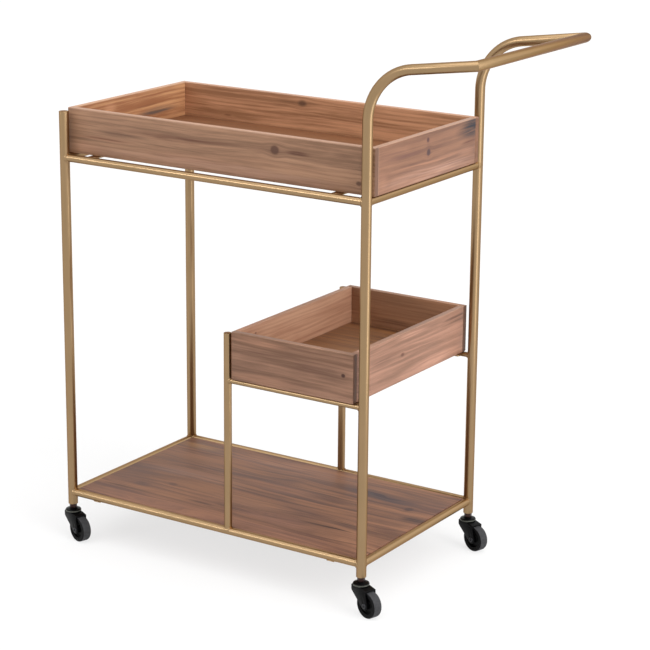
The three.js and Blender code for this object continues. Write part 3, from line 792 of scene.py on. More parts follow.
@dataclass
class TubeFrame:
    """The welded frame: legs, handle, rails, posts, rods, lugs, weld beads and screws.

    Sizes are in mm and angles in degrees. Outlines are pairs of radius and height: the cap's rim is
    measured from its tube's radius and its own top, and the screw from the underside of its head.
    """

    body: str = "frame"
    slot: str = "gold_frame"
    leg_radius: float = 9.5
    leg_wall: float = 1.2
    rail_radius: float = 7.5
    rod_radius: float = 5.0
    bore_depth: float = 34.0
    end_easing: float = 0.35
    cap_rim: Outline = ((0.0, -2.3), (0.0, -1.1), (-0.24, -0.48), (-0.8, -0.2))
    cap_crown: float = 0.05
    bend_radius: float = 100.0
    bend_height: float = 920.3
    bend_steps: int = 26
    arm_rise: float = 8.0
    arm_length: float = 127.5
    seam_radius: float = 0.5
    seam_inset: float = 0.15
    cope_depth: float = 0.4
    weld_throat: float = 1.5
    weld_root: float = 0.5
    weld_blank: float = 9.0
    weld_easing: float = 0.93
    lug_width: float = 20.0
    lug_start: float = 2.5
    lug_reach: float = 30.0
    lug_thickness: float = 2.6
    lug_corner: float = 4.0
    lug_easing: float = 0.3
    lug_hole: float = 2.2
    lug_hole_from_tip: float = 9.0
    lug_inset: float = 65.0
    bead_radius: float = 1.2
    bead_end: float = 1.5
    bead_easing: float = 0.9
    screw_head: Outline = ((0.0, -2.3), (2.035, -2.2), (3.182, -1.7), (3.7, -0.9), (3.7, 0.0))
    screw_shank: Outline = ((2.0, 0.0), (2.0, 9.0), (0.0, 11.0))
    screw_gap: float = 0.05
    recess: Pair = (0.5, 1.9)
    recess_top: float = 1.1
    gold: Material = field(default_factory=GOLD.make)
    zinc: Material = field(default_factory=ZINC.make)

    def build(self) -> None:
        """Builds the whole frame."""
        self.build_left_legs()
        self.build_handle()
        self.build_rails()
        self.build_posts()
        self.build_rods()
        self.build_lugs()

    def done(self, piece: Piece, *stands_for: str) -> None:
        """Finishes a gold piece."""
        finish_piece(piece, self.body, self.gold, stands_for)

    def open_foot(self, leg: Piece) -> None:
        """Bores a leg's lower end and eases its edges."""
        bore_end(leg, -UP, self.leg_wall, self.bore_depth)
        ease(leg, self.end_easing, 2)

    def build_left_legs(self) -> None:
        """The two straight legs, open at the foot and closed by a cap."""
        for corner in ("front_left", "back_left"):
            low, high = span(f"{corner}_leg")
            foot, head = leg_place(corner, low.z), leg_place(corner, high.z)
            leg = add_rod(f"{corner}_tube", foot, head, self.leg_radius)
            self.open_foot(leg)
            self.done(leg, f"{corner}_leg")
            self.build_cap(f"{corner}_leg_cap", self.leg_radius)

    def build_cap(self, node: str, radius: float) -> None:
        """A pressed-in end cap, a little domed, with a rounded rim."""
        x, y, _ = middle_of(node)
        top = span(node)[1].z
        rim = set_off(self.cap_rim, radius, top)
        crown = [(radius / 2, top - self.cap_crown), (0.0, top)]
        cap = turn_profile(f"{node}_dome", [(0.0, rim[0][1]), *rim, *crown])
        self.done(copy_to(cap, node.replace("_cap", "_end_cap"), (x, y, 0)), node)
        discard(cap)

    def build_handle(self) -> None:
        """The two right legs, each bent over into an arm, and the crossbar mitred to both."""
        rise = math.radians(self.arm_rise)
        arm = Vector((math.cos(rise), 0, math.sin(rise)))
        bend = math.pi / 2 - rise
        across = Vector((1 - math.cos(bend), 0, math.sin(bend))) * self.bend_radius
        sides = (("front", Vector((0, 1, 0))), ("back", Vector((0, -1, 0))))
        corners = {}
        for side, inward in sides:
            foot = leg_place(f"{side}_right", span(f"{side}_handle_leg")[0].z)
            bend_start = leg_place(f"{side}_right", self.bend_height)
            corners[side] = bend_start + across + arm * self.arm_length
            leg = self.bent_leg(f"{side}_handle_tube", foot, bend, arm)
            self.mitre(leg, corners[side], arm + inward)
            self.open_foot(leg)
            self.done(leg, f"{side}_handle_leg")
        reach = Vector((0, self.leg_radius * 2, 0))
        ends = (corners["front"] - reach, corners["back"] + reach)
        bar = add_rod("handle_crossbar_tube", *ends, self.leg_radius)
        for side, inward in sides:
            self.mitre(bar, corners[side], -arm - inward)
        ease(bar, self.end_easing, 2)
        self.done(bar, "handle_crossbar")
        for side, inward in sides:
            self.done(self.mitre_seam(f"{side}_handle_seam", corners[side], arm, inward))

    def bent_leg(self, name: str, foot: Vector, bend: float, arm: Vector) -> Piece:
        """A leg swept from its foot up, round the bend and along the arm.

        Args:
            name: the piece's name.
            foot: the middle of its lower end, mm.
            bend: the angle of the bend, radians.
            arm: the direction of the arm.

        Returns:
            The closed sweep, longer than the arm by an overrun that the mitre takes off.
        """
        bpy.ops.object.select_all(action="DESELECT")
        bpy.ops.mesh.primitive_circle_add(
            vertices=48, radius=self.leg_radius * MM, fill_type="NGON", location=foot * MM
        )
        leg = named(name)
        centre = Vector((foot.x + self.bend_radius, foot.y, self.bend_height)) * MM
        with editing(leg):
            bpy.ops.mesh.select_all(action="SELECT")
            extrude(Vector((0, 0, self.bend_height - foot.z)))
            bpy.ops.mesh.spin(steps=self.bend_steps, angle=bend, center=centre, axis=(0, -1, 0))
            extrude(arm * (self.arm_length + 2 * self.leg_radius))
            seal()
        return leg

    def mitre(self, piece: Piece, corner: Vector, outward: Vector) -> None:
        """Cuts a tube off at a corner, on the plane that faces outward."""
        with editing(piece):
            bpy.ops.mesh.select_all(action="SELECT")
            plane = {"plane_co": corner * MM, "plane_no": outward.normalized()}
            bpy.ops.mesh.bisect(use_fill=True, clear_outer=True, **plane)

    def mitre_seam(self, name: str, corner: Vector, arm: Vector, inward: Vector) -> Piece:
        """The thin dressed weld round a mitre, an ellipse in the mitre's plane."""
        bpy.ops.object.select_all(action="DESELECT")
        bpy.ops.mesh.primitive_torus_add(
            major_segments=48,
            minor_segments=8,
            major_radius=(self.leg_radius - self.seam_radius - self.seam_inset) * MM,
            minor_radius=self.seam_radius * MM,
        )
        normal, long_way = (arm + inward).normalized(), (arm - inward).normalized()
        ways = (long_way * math.sqrt(2), normal.cross(long_way), normal)
        turn = Matrix(ways).transposed().to_4x4()
        return settle(bpy.context.object, shift(corner) @ turn, name)

    def coped_rail(
        self, name: str, start: Vector, end: Vector, radius: float, uprights: Pair
    ) -> Piece:
        """A bar between the axes of two uprights, hollowed at its ends to fit round them.

        Args:
            name: the piece's name.
            start: the point on the first upright's axis, mm.
            end: the point on the second upright's axis, mm.
            radius: the bar's radius, mm.
            uprights: the radii of the two uprights, mm.

        Returns:
            The bar.
        """
        rail = add_rod(name, start, end, radius)
        for point, upright in zip((start, end), uprights):
            tall = 3 * upright * UP
            carve(rail, add_rod("cope", point - tall, point + tall, upright - self.cope_depth))
        return rail

    def weld_collar(self, branch: float, main: float) -> Piece:
        """The fillet weld where a bar along +X meets an upright, modelled round the origin.

        Args:
            branch: the bar's radius, mm.
            main: the upright's radius, mm.

        Returns:
            A ring that follows the saddle between the two.
        """
        tall = 4 * main * UP
        end = main + self.weld_blank
        ring = add_rod("weld", (main * 0.3, 0, 0), (end, 0, 0), branch + self.weld_throat)
        carve(ring, add_rod("outside", -tall, tall, main + self.weld_throat), Way.KEEP)
        carve(ring, add_rod("upright", -tall, tall, main - self.weld_root))
        carve(ring, add_rod("bar", (0, 0, 0), (end + 3, 0, 0), branch - self.weld_root))
        ease(ring, self.weld_easing, 3, 60)
        return ring

    def build_rails(self) -> None:
        """The upper and lower rectangles of rails, with a weld at each end."""
        collar = self.weld_collar(self.rail_radius, self.leg_radius)
        for level in ("top", "shelf"):
            height = middle_of(f"{level}_left_rail").z
            for side, first, last, turn in (
                ("front", "front_left", "front_right", 0),
                ("back", "back_left", "back_right", 0),
                ("left", "front_left", "back_left", 90),
                ("right", "front_right", "back_right", 90),
            ):
                start, end = leg_place(first, height), leg_place(last, height)
                name = f"{level}_{side}"
                legs = (self.leg_radius, self.leg_radius)
                rail = self.coped_rail(f"{name}_rail_tube", start, end, self.rail_radius, legs)
                self.done(rail, f"{name}_rail")
                self.done(copy_to(collar, f"{name}_weld_a", start, turn))
                self.done(copy_to(collar, f"{name}_weld_b", end, turn + 180))
        discard(collar)

    def build_posts(self) -> None:
        """The two posts on the lower rails, with their caps and the welds at their feet."""
        collar = self.weld_collar(self.rail_radius, self.rail_radius)
        settle(collar, turn_about("Y", -90), "post_weld")
        height = middle_of("shelf_left_rail").z
        for side in ("front", "back"):
            x, y, _ = middle_of(f"{side}_post")
            foot, head = (x, y, height), (x, y, span(f"{side}_post")[1].z)
            post = add_rod(f"{side}_post_tube", foot, head, self.rail_radius)
            reach = Vector((2 * self.rail_radius + OVERRUN, 0, 0))
            radius = self.rail_radius - self.cope_depth
            carve(post, add_rod("saddle", Vector(foot) - reach, Vector(foot) + reach, radius))
            self.done(post, f"{side}_post")
            self.build_cap(f"{side}_post_cap", self.rail_radius)
            self.done(copy_to(collar, f"{side}_post_weld", foot))
        discard(collar)

    def build_rods(self) -> None:
        """The two rods under the short tray, between the posts and the right legs."""
        at_post = self.weld_collar(self.rod_radius, self.rail_radius)
        at_leg = self.weld_collar(self.rod_radius, self.leg_radius)
        for side in ("front", "back"):
            height = span(f"{side}_mid_rail")[1].z - self.rod_radius
            post = middle_of(f"{side}_post")
            start, end = Vector((post.x, post.y, height)), leg_place(f"{side}_right", height)
            radii = (self.rail_radius, self.leg_radius)
            rod = self.coped_rail(f"{side}_mid_rod", start, end, self.rod_radius, radii)
            self.done(rod, f"{side}_mid_rail")
            self.done(copy_to(at_post, f"{side}_mid_weld_a", start))
            self.done(copy_to(at_leg, f"{side}_mid_weld_b", end, 180))
        discard(at_post, at_leg)

    def build_lugs(self) -> None:
        """The lugs on the long rails and on the rods, each with its weld and its screw.

        A weld's place is given across the rail from its middle and up from the lug's top, mm.
        """
        lug, screw = self.make_lug(), self.make_screw()
        left, right = leg_place("front_left").x, leg_place("front_right").x
        outer = (left + self.lug_inset, right - self.lug_inset)
        under_boards = (middle_of("mid_tray_left_board").x, middle_of("mid_tray_right_board").x)
        top, mid = span("top_front_rail")[1].z, span("front_mid_rail")[1].z
        shelf = span("shelf_front_rail")[0].z + self.lug_thickness
        for level, places, height, weld in (
            ("top", outer, top, (6.3, -3.1)),
            ("shelf", outer, shelf, (-4.3, 0.5)),
            ("mid", under_boards, mid, (5.1, -3.1)),
        ):
            bead = self.make_bead(*weld)
            for side, turn in (("front", 0), ("back", 180)):
                y = leg_place(f"{side}_left").y
                for end, x in zip(("left", "right"), places):
                    name, place = f"{level}_{side}_{end}", (x, y, height)
                    self.done(copy_to(lug, f"{name}_lug", place, turn))
                    self.done(copy_to(bead, f"{name}_bead", place, turn))
                    fixing = copy_to(screw, f"{name}_screw", place, turn)
                    finish_piece(fixing, self.body, self.zinc)
            discard(bead)
        discard(lug, screw)

    def make_lug(self) -> Piece:
        """A lug that starts under a rail's middle and reaches inwards along +Y, top at zero."""
        half, tip = self.lug_width / 2, self.lug_reach
        lug = add_block("lug", (-half, self.lug_start, -self.lug_thickness), (half, tip, 0))
        round_edges(
            lug, lambda a, b: min(a.y, b.y) > tip - 1 and abs(a.x - b.x) < 1, self.lug_corner, 6
        )
        middle = Vector((0, tip - self.lug_hole_from_tip, 0))
        deep = (self.lug_thickness + OVERRUN) * UP
        carve(lug, add_rod("hole", middle - deep, middle + OVERRUN * UP, self.lug_hole, 24))
        ease(lug, self.lug_easing, 2, 60)
        return lug

    def make_bead(self, y: float, z: float) -> Piece:
        """The short weld that holds a lug to its rail, along X, with rounded ends."""
        half = self.lug_width / 2 - self.bead_end
        bead = add_rod("bead", (-half, y, z), (half, y, z), self.bead_radius, 16)
        ease(bead, self.bead_easing, 3, 60)
        return bead

    def make_screw(self) -> Piece:
        """A pan-head screw with a cross recess, driven upwards through a lug."""
        under = -self.lug_thickness - self.screw_gap
        outline = set_off(self.screw_head + self.screw_shank, 0.0, under)
        screw = turn_profile("screw", outline, 24)
        low, high = under - OVERRUN, under - self.recess_top
        for x, y in (self.recess, self.recess[::-1]):
            carve(screw, add_block("recess", (-x, -y, low), (x, y, high)))
        return settle(screw, shift((0, self.lug_reach - self.lug_hole_from_tip, 0)), "screw")


@dataclass
class Tray:
    """An open wooden box: four boards butted at the corners and a base tongued into them."""

    name: str
    grains: Mapping[str, Grain]
    body: str = "frame"
    slot: str = "tray_wood"
    edge_radius: float = 0.9
    base_edge_radius: float = 0.3
    tongue_height: float = 4.0
    tongue_reach: float = 5.5
    groove_clearance: float = 0.3

    def build(self) -> None:
        """Builds the boards and the base."""
        for side in ("front", "back", "left", "right"):
            self.build_board(side)
        node = f"{self.name}_base"
        low, high = span(node)
        reach = Vector((self.tongue_reach, self.tongue_reach, 0))
        floor = add_block(f"{self.name}_floor", low + reach, high - reach)
        ease(floor, self.base_edge_radius, 2)
        carve(floor, self.tongue(0.0), Way.JOIN)
        material = self.grains["base"].make(Along.X_PANEL, low, high)
        finish_piece(floor, self.body, material, (node,))

    def tongue(self, clearance: float) -> Piece:
        """The slab that fills the boards' grooves, larger by a clearance on every side, mm."""
        low, high = span(f"{self.name}_base")
        spare = Vector((clearance,) * 3)
        top = Vector((high.x, high.y, low.z + self.tongue_height))
        return add_block("tongue", low - spare, top + spare)

    def build_board(self, side: str) -> None:
        """One wall of the tray, with its edges eased and its groove cut."""
        node = f"{self.name}_{side}_board"
        low, high = span(node)
        board = add_block(f"{self.name}_{side}_wall", low, high)
        ease(board, self.edge_radius)
        carve(board, self.tongue(self.groove_clearance))
        run = Along.X_WALL if side in ("front", "back") else Along.Y_WALL
        material = self.grains[side].make(run, low, high)
        finish_piece(board, self.body, material, (node,))


@dataclass
class Shelf:
    """The lower shelf: one panel that lies inside the rails and is cut round the legs."""

    grain: Grain
    body: str = "frame"
    slot: str = "shelf_wood"
    node: str = "shelf_panel"
    notch_radius: float = 9.8
    edge_radius: float = 0.8

    def build(self) -> None:
        """Builds the panel."""
        low, high = span(self.node)
        panel = add_block("shelf_board", low, high)
        for corner in CORNERS:
            ends = leg_place(corner, low.z - OVERRUN), leg_place(corner, high.z + OVERRUN)
            carve(panel, add_rod("notch", *ends, self.notch_radius))
        ease(panel, self.edge_radius)
        material = self.grain.make(Along.X_PANEL, low, high)
        finish_piece(panel, self.body, material, (self.node,))


@dataclass
class Casters:
    """Four swivel casters, modelled once with the wheel trailing along +X and copied.

    Sizes are in mm and angles in degrees. Outlines are pairs of radius and height, and those of
    the axle, the hub and the tyre are one half, with the height measured from the wheel's middle.
    """

    body: str = "frame"
    swivel: float = -17.0
    trail: float = 23.5
    wheel_radius: float = 25.0
    tread_depth: float = 0.6
    half_fork: float = 12.5
    half_pocket: float = 10.5
    fork_top: float = 57.0
    pocket_top: float = 51.3
    fork_front: float = 16.0
    front_skirt: float = 7.0
    hood: float = 26.5
    hood_bend: float = 11.0
    hood_drop: float = 3.4
    hood_skirt: float = 11.5
    nose_radius: float = 4.5
    pocket_radius: float = 1.8
    shoulder_radius: float = 1.6
    fork_easing: float = 0.45
    boss_radius: float = 8.0
    kingpin_hole: float = 4.6
    axle_hole: float = 3.3
    ring_bottom: float = 57.3
    dome_bottom: float = 60.3
    nut_bottom: float = 63.7
    nut_top: float = 72.7
    nut_flats: float = 13.0
    nut_chamfer: float = 1.0
    nut_face: float = 0.98
    nut_easing: float = 0.25
    stem_top: float = 101.0
    rivet_gap: float = 0.3
    rivet_outline: Outline = ((0.0, -1.6), (4.6, -1.5), (6.0, -1.0), (6.5, -0.4), (6.5, 0.0))
    pin_outline: Outline = ((4.0, -1.0), (3.2, 0.0), (0.0, 0.0))
    ring_outline: Outline = (
        (10.8, 0.0), (15.1, 0.0), (15.6, 0.3), (15.8, 0.8),
        (15.8, 2.2), (15.6, 2.7), (15.1, 3.0), (10.8, 3.0),
    )
    dome_outline: Outline = (
        (4.2, 0.0), (14.6, 0.0), (15.1, 0.3), (15.2, 0.8), (14.8, 1.3), (13.8, 1.7),
        (11.6, 2.2), (9.6, 2.8), (8.9, 3.3), (8.2, 3.4), (4.2, 3.4),
    )
    axle_outline: Outline = (
        (0.0, 13.1), (1.9, 13.1), (2.2, 14.1), (2.8, 14.55), (3.6, 14.5),
        (4.6, 14.0), (5.0, 13.4), (5.0, 12.8), (3.0, 12.8),
    )
    hub_outline: Outline = (
        (3.3, 10.1), (6.4, 10.1), (7.0, 9.5), (7.3, 4.4), (8.4, 3.2), (15.4, 3.0),
        (16.5, 4.0), (16.9, 8.25), (17.4, 8.75), (19.1, 8.75), (19.5, 8.35),
    )
    tyre_outline: Outline = (
        (19.8, 9.0), (20.6, 9.0), (21.0, 9.4), (22.8, 9.5),
        (23.9, 9.15), (24.55, 8.55), (24.9, 7.8), (25.0, 6.9),
    )

    def build(self) -> None:
        """Models every piece of a caster and puts a copy under each leg."""
        black = BLACK_STEEL.make()
        bronze = BROWNED_STEEL.make()
        nylon = BLACK_NYLON.make()
        tread = GREY_TREAD_RUBBER.make()
        still = (
            (self.make_stem(), "stem", bronze, "caster_steel", "caster_stem"),
            (self.make_ring(), "bearing_ring", BEARING_STEEL.make(), "caster_steel", None),
            (self.make_dome(), "bearing_dome", black, "caster_steel", None),
            (self.make_nut(), "nut", bronze, "caster_steel", None),
        )
        axle = self.wheel_part("axle", self.axle_outline, 32, closed=False)
        hub = self.wheel_part("hub", self.hub_outline, 64)
        tyre = self.wheel_part("tyre", self.tyre_outline, 72)
        turning = (
            (self.make_fork(), "fork", black, "caster_steel", "caster_fork"),
            (axle, "axle", PHOSPHATED_STEEL.make(), "caster_steel", "caster_axle"),
        )
        rolling = (
            (hub, "hub", nylon, "wheel_plastic", "wheel_hub"),
            (tyre, "tyre", BLACK_RUBBER.make(), "wheel_rubber", "wheel_tyre"),
        )
        for corner in CORNERS:
            for group, body, turn in (
                (still, self.body, 0.0),
                (turning, f"{corner}_swivel", self.swivel),
                (rolling, f"{corner}_wheel", self.swivel),
            ):
                for pattern, part, material, slot, node in group:
                    piece = copy_to(pattern, f"{corner}_{part}", leg_place(corner), turn)
                    nodes = (f"{corner}_{node}",) if node else ()
                    finish_piece(piece, body, material, nodes)
                    if part == "tyre":
                        self.dress_tread(piece, middle_of(nodes[0]), tread)
            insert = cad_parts[f"{corner}_leg_insert"]
            insert.data.materials.clear()
            insert.data.materials.append(nylon)
        discard(*(row[0] for group in (still, turning, rolling) for row in group))

    def dress_tread(self, tyre: Piece, middle: Vector, tread: Material) -> None:
        """Gives the faces that roll on the floor the tread's finish.

        Args:
            tyre: the finished tyre.
            middle: the wheel's middle, mm.
            tread: the finish.
        """
        tyre.data.materials.append(tread)
        axle = turn_about("Z", self.swivel) @ Vector((0, 1, 0))
        for face in tyre.data.polygons:
            out = face.center / MM - middle
            out -= axle * out.dot(axle)
            if out.length > self.wheel_radius - self.tread_depth:
                face.material_index = 1

    def make_stem(self) -> Piece:
        """The pin from the rivet under the fork up into the leg's plug."""
        low = self.pocket_top - self.rivet_gap
        pin = set_off(self.pin_outline, 0.0, self.stem_top)
        profile = [*set_off(self.rivet_outline, 0.0, low), (pin[0][0], low), *pin]
        return turn_profile("stem", profile, 32)

    def make_ring(self) -> Piece:
        """The rolled lip of the bearing, a bright band just above the fork."""
        outline = set_off(self.ring_outline, 0.0, self.ring_bottom)
        return turn_profile("bearing_ring", outline, closed=True)

    def make_dome(self) -> Piece:
        """The dome over the bearing, pressed from sheet."""
        outline = set_off(self.dome_outline, 0.0, self.dome_bottom)
        return turn_profile("bearing_dome", outline, closed=True)

    def make_nut(self) -> Piece:
        """The hexagon nut under the leg, with its corners turned off."""
        low, high = self.nut_bottom, self.nut_top
        flats = self.nut_flats / 2
        corners = flats / math.cos(math.pi / 6)
        nut = add_rod("nut", (0, 0, low), (0, 0, high), corners, 6)
        face = flats * self.nut_face
        outside, above = corners + 0.3, high + 0.5  # the cutter is clear of the nut here
        half = [(outside, high - self.nut_chamfer), (face, high), (face, above), (0.0, above)]
        mirror = [(radius, low + high - height) for radius, height in reversed(half)]
        carve(nut, turn_profile("chamfer", mirror + half), Way.KEEP)
        ease(nut, self.nut_easing, 2, 50)
        return nut

    def make_fork(self) -> Piece:
        """The pressed fork: cheeks that narrow to the axle, a plate and a hood over the wheel."""
        half, top = self.half_fork, self.fork_top
        front = -self.fork_front
        boss = [
            (
                self.trail + self.boss_radius * math.cos(math.radians(angle)),
                self.wheel_radius + self.boss_radius * math.sin(math.radians(angle)),
            )
            for angle in range(-135, 1, 9)
        ]
        cheek = [
            (self.hood, top - self.hood_drop),
            (self.hood_bend, top),
            (front, top),
            (front, top - self.front_skirt),
            *boss,
            (self.hood, top - self.hood_skirt),
        ]
        fork = cut_plate("fork", [(x, -half, z) for x, z in cheek], (0, 2 * half, 0))
        round_edges(
            fork,
            lambda a, b: max(a.x, b.x) < 0 and abs(a.z - b.z) > 5 and a.x == b.x,
            self.nose_radius,
            8,
        )
        far = self.trail + self.hood + 2 * OVERRUN
        inner = self.half_pocket
        pocket = add_block("pocket", (-far, -inner, -OVERRUN), (far, inner, self.pocket_top))
        round_edges(
            pocket,
            lambda a, b: min(a.z, b.z) > 0 and abs(a.y - b.y) < 1,
            self.pocket_radius,
            4,
        )
        carve(fork, pocket)
        low, high = self.pocket_top - OVERRUN, top + OVERRUN
        carve(fork, add_rod("kingpin", (0, 0, low), (0, 0, high), self.kingpin_hole, 32))
        axle = Vector((self.trail, 0, self.wheel_radius))
        reach = Vector((0, half + OVERRUN, 0))
        carve(fork, add_rod("bore", axle - reach, axle + reach, self.axle_hole, 24))
        round_edges(
            fork,
            lambda a, b: min(a.z, b.z) > top - self.hood_drop - 0.1
            and min(a.xy.length, b.xy.length) > self.kingpin_hole + 1
            and abs(a.y - b.y) < half,
            self.shoulder_radius,
            4,
        )
        ease(fork, self.fork_easing, 2, 50)
        return fork

    def wheel_part(self, name: str, half: Outline, sides: int, closed: bool = True) -> Piece:
        """A part turned about the wheel's axis from half of its outline, and put in place."""
        part = turn_profile(name, both_sides(half), sides, closed)
        place = shift((self.trail, 0, self.wheel_radius))
        return settle(part, place @ turn_about("X", -90), name)


@dataclass
class Studio:
    """A pale floor, plain soft light and the camera. Sizes are in mm and angles in degrees."""

    floor_size: float = 80000.0
    floor_colour: str = "#f4f4f4"
    floor_glow: float = 0.72
    ambient: float = 0.3
    box_distance: float = 1000.0
    box_width: float = 400.0
    box_height: float = 1900.0
    box_level: float = 2.1
    focal_pixels: float = 2175.86
    image_side: int = 650
    film_width: float = 36.0
    clip: Pair = (50.0, 200000.0)
    place: Triple = (2195.26, -3361.23, 1617.65)
    yaw: float = 32.826
    pitch: float = 15.964
    roll: float = -0.527

    def build(self) -> None:
        """Builds the floor, the world, the lamps and the camera."""
        self.build_floor()
        self.build_world()
        self.add_lamp("overhead", azimuth=30, elevation=75, strength=2.4, spread=84)
        self.add_lamp("key", azimuth=75, elevation=33, strength=1.2, spread=30)
        self.add_lamp("front_left", azimuth=-36, elevation=24, strength=0.34, spread=12)
        self.add_lamp("rear_right", azimuth=147, elevation=26, strength=0.25, spread=50)
        self.add_softbox()
        self.build_camera()
        bpy.context.scene.view_settings.view_transform = "Standard"

    def seen(self, tree: Tree) -> Socket:
        """One for the rays of the camera, of gloss and of glass, and zero for all others."""
        rays = add_node(tree, "LightPath", {}).node.outputs
        either = rays["Is Camera Ray"]
        for kind in ("Is Glossy Ray", "Is Transmission Ray"):
            either = add_node(tree, "Math", {0: either, 1: rays[kind]}, operation="MAXIMUM")
        return either

    def build_floor(self) -> None:
        """A wide matt floor that looks white and takes a light shadow of the cart."""
        bpy.ops.object.select_all(action="DESELECT")
        bpy.ops.mesh.primitive_plane_add(size=self.floor_size * MM)
        floor = named("studio_floor")
        material, tree = new_tree("painted_studio_floor")
        paint = add_node(tree, "BsdfDiffuse", {"Color": linear(self.floor_colour)})
        glow = add_node(tree, "Emission", {"Strength": 1.0})
        share = add_node(tree, "MapRange", {"Value": self.seen(tree), "To Max": self.floor_glow})
        mix = add_node(tree, "MixShader", {0: share, 1: paint, 2: glow})
        add_node(tree, "OutputMaterial", {"Surface": mix})
        floor.data.materials.append(material)

    def build_world(self) -> None:
        """White where the camera, gloss or glass sees it, and a plain level elsewhere."""
        world = bpy.data.worlds.new("studio_surround")
        bpy.context.scene.world = world
        world.use_nodes = True
        tree = world.node_tree
        tree.nodes.clear()
        level = add_node(tree, "MapRange", {"Value": self.seen(tree), "To Min": self.ambient})
        white = {"Color": (1.0, 1.0, 1.0, 1.0), "Strength": level}
        add_node(tree, "OutputWorld", {"Surface": add_node(tree, "Background", white)})

    def add_lamp(
        self, name: str, azimuth: float, elevation: float, strength: float, spread: float
    ) -> None:
        """Adds a soft distant lamp.

        Args:
            name: the lamp's name.
            azimuth: how far it stands to the right of the cart's front, degrees.
            elevation: how high it stands, degrees.
            strength: its strength.
            spread: how wide it looks from the cart, degrees.
        """
        bpy.ops.object.select_all(action="DESELECT")
        bpy.ops.object.light_add(type="SUN")
        lamp = bpy.context.object
        lamp.name = name
        lamp.data.energy = strength
        lamp.data.angle = math.radians(spread)
        a, e = math.radians(azimuth), math.radians(elevation)
        towards = Vector((math.sin(a) * math.cos(e), -math.cos(a) * math.cos(e), math.sin(e)))
        lamp.rotation_euler = towards.to_track_quat("Z", "Y").to_euler()

    def add_softbox(self) -> None:
        """Adds an upright softbox that stands on the floor to the right of the cart."""
        bpy.ops.object.select_all(action="DESELECT")
        place = Vector((self.box_distance, 0, self.box_height / 2)) * MM
        bpy.ops.object.light_add(type="AREA", location=place)
        lamp = bpy.context.object
        lamp.name = "right_softbox"
        lamp.visible_camera = False
        lamp.data.shape = "RECTANGLE"
        lamp.data.size = self.box_width * MM
        lamp.data.size_y = self.box_height * MM
        lamp.data.energy = self.box_level * math.pi * lamp.data.size * lamp.data.size_y
        lamp.rotation_euler = Vector((1, 0, 0)).to_track_quat("Z", "Y").to_euler()

    def build_camera(self) -> None:
        """The camera at the photograph's viewing angle, for a square image."""
        bpy.ops.object.select_all(action="DESELECT")
        bpy.ops.object.camera_add()
        camera = bpy.context.object
        yaw, pitch, roll = (math.radians(a) for a in (self.yaw, self.pitch, self.roll))
        ahead = Vector(
            (-math.sin(yaw) * math.cos(pitch), math.cos(yaw) * math.cos(pitch), -math.sin(pitch))
        )
        level = Vector((math.cos(yaw), math.sin(yaw), 0))
        down = ahead.cross(level)
        right = level * math.cos(roll) + down * math.sin(roll)
        below = down * math.cos(roll) - level * math.sin(roll)
        turn = Matrix((right, -below, -ahead)).transposed().to_4x4()
        camera.matrix_world = shift(self.place) @ turn
        camera.data.sensor_width = self.film_width
        camera.data.lens = self.focal_pixels * self.film_width / self.image_side
        camera.data.clip_start = self.clip[0] * MM
        camera.data.clip_end = self.clip[1] * MM
        bpy.context.scene.camera = camera
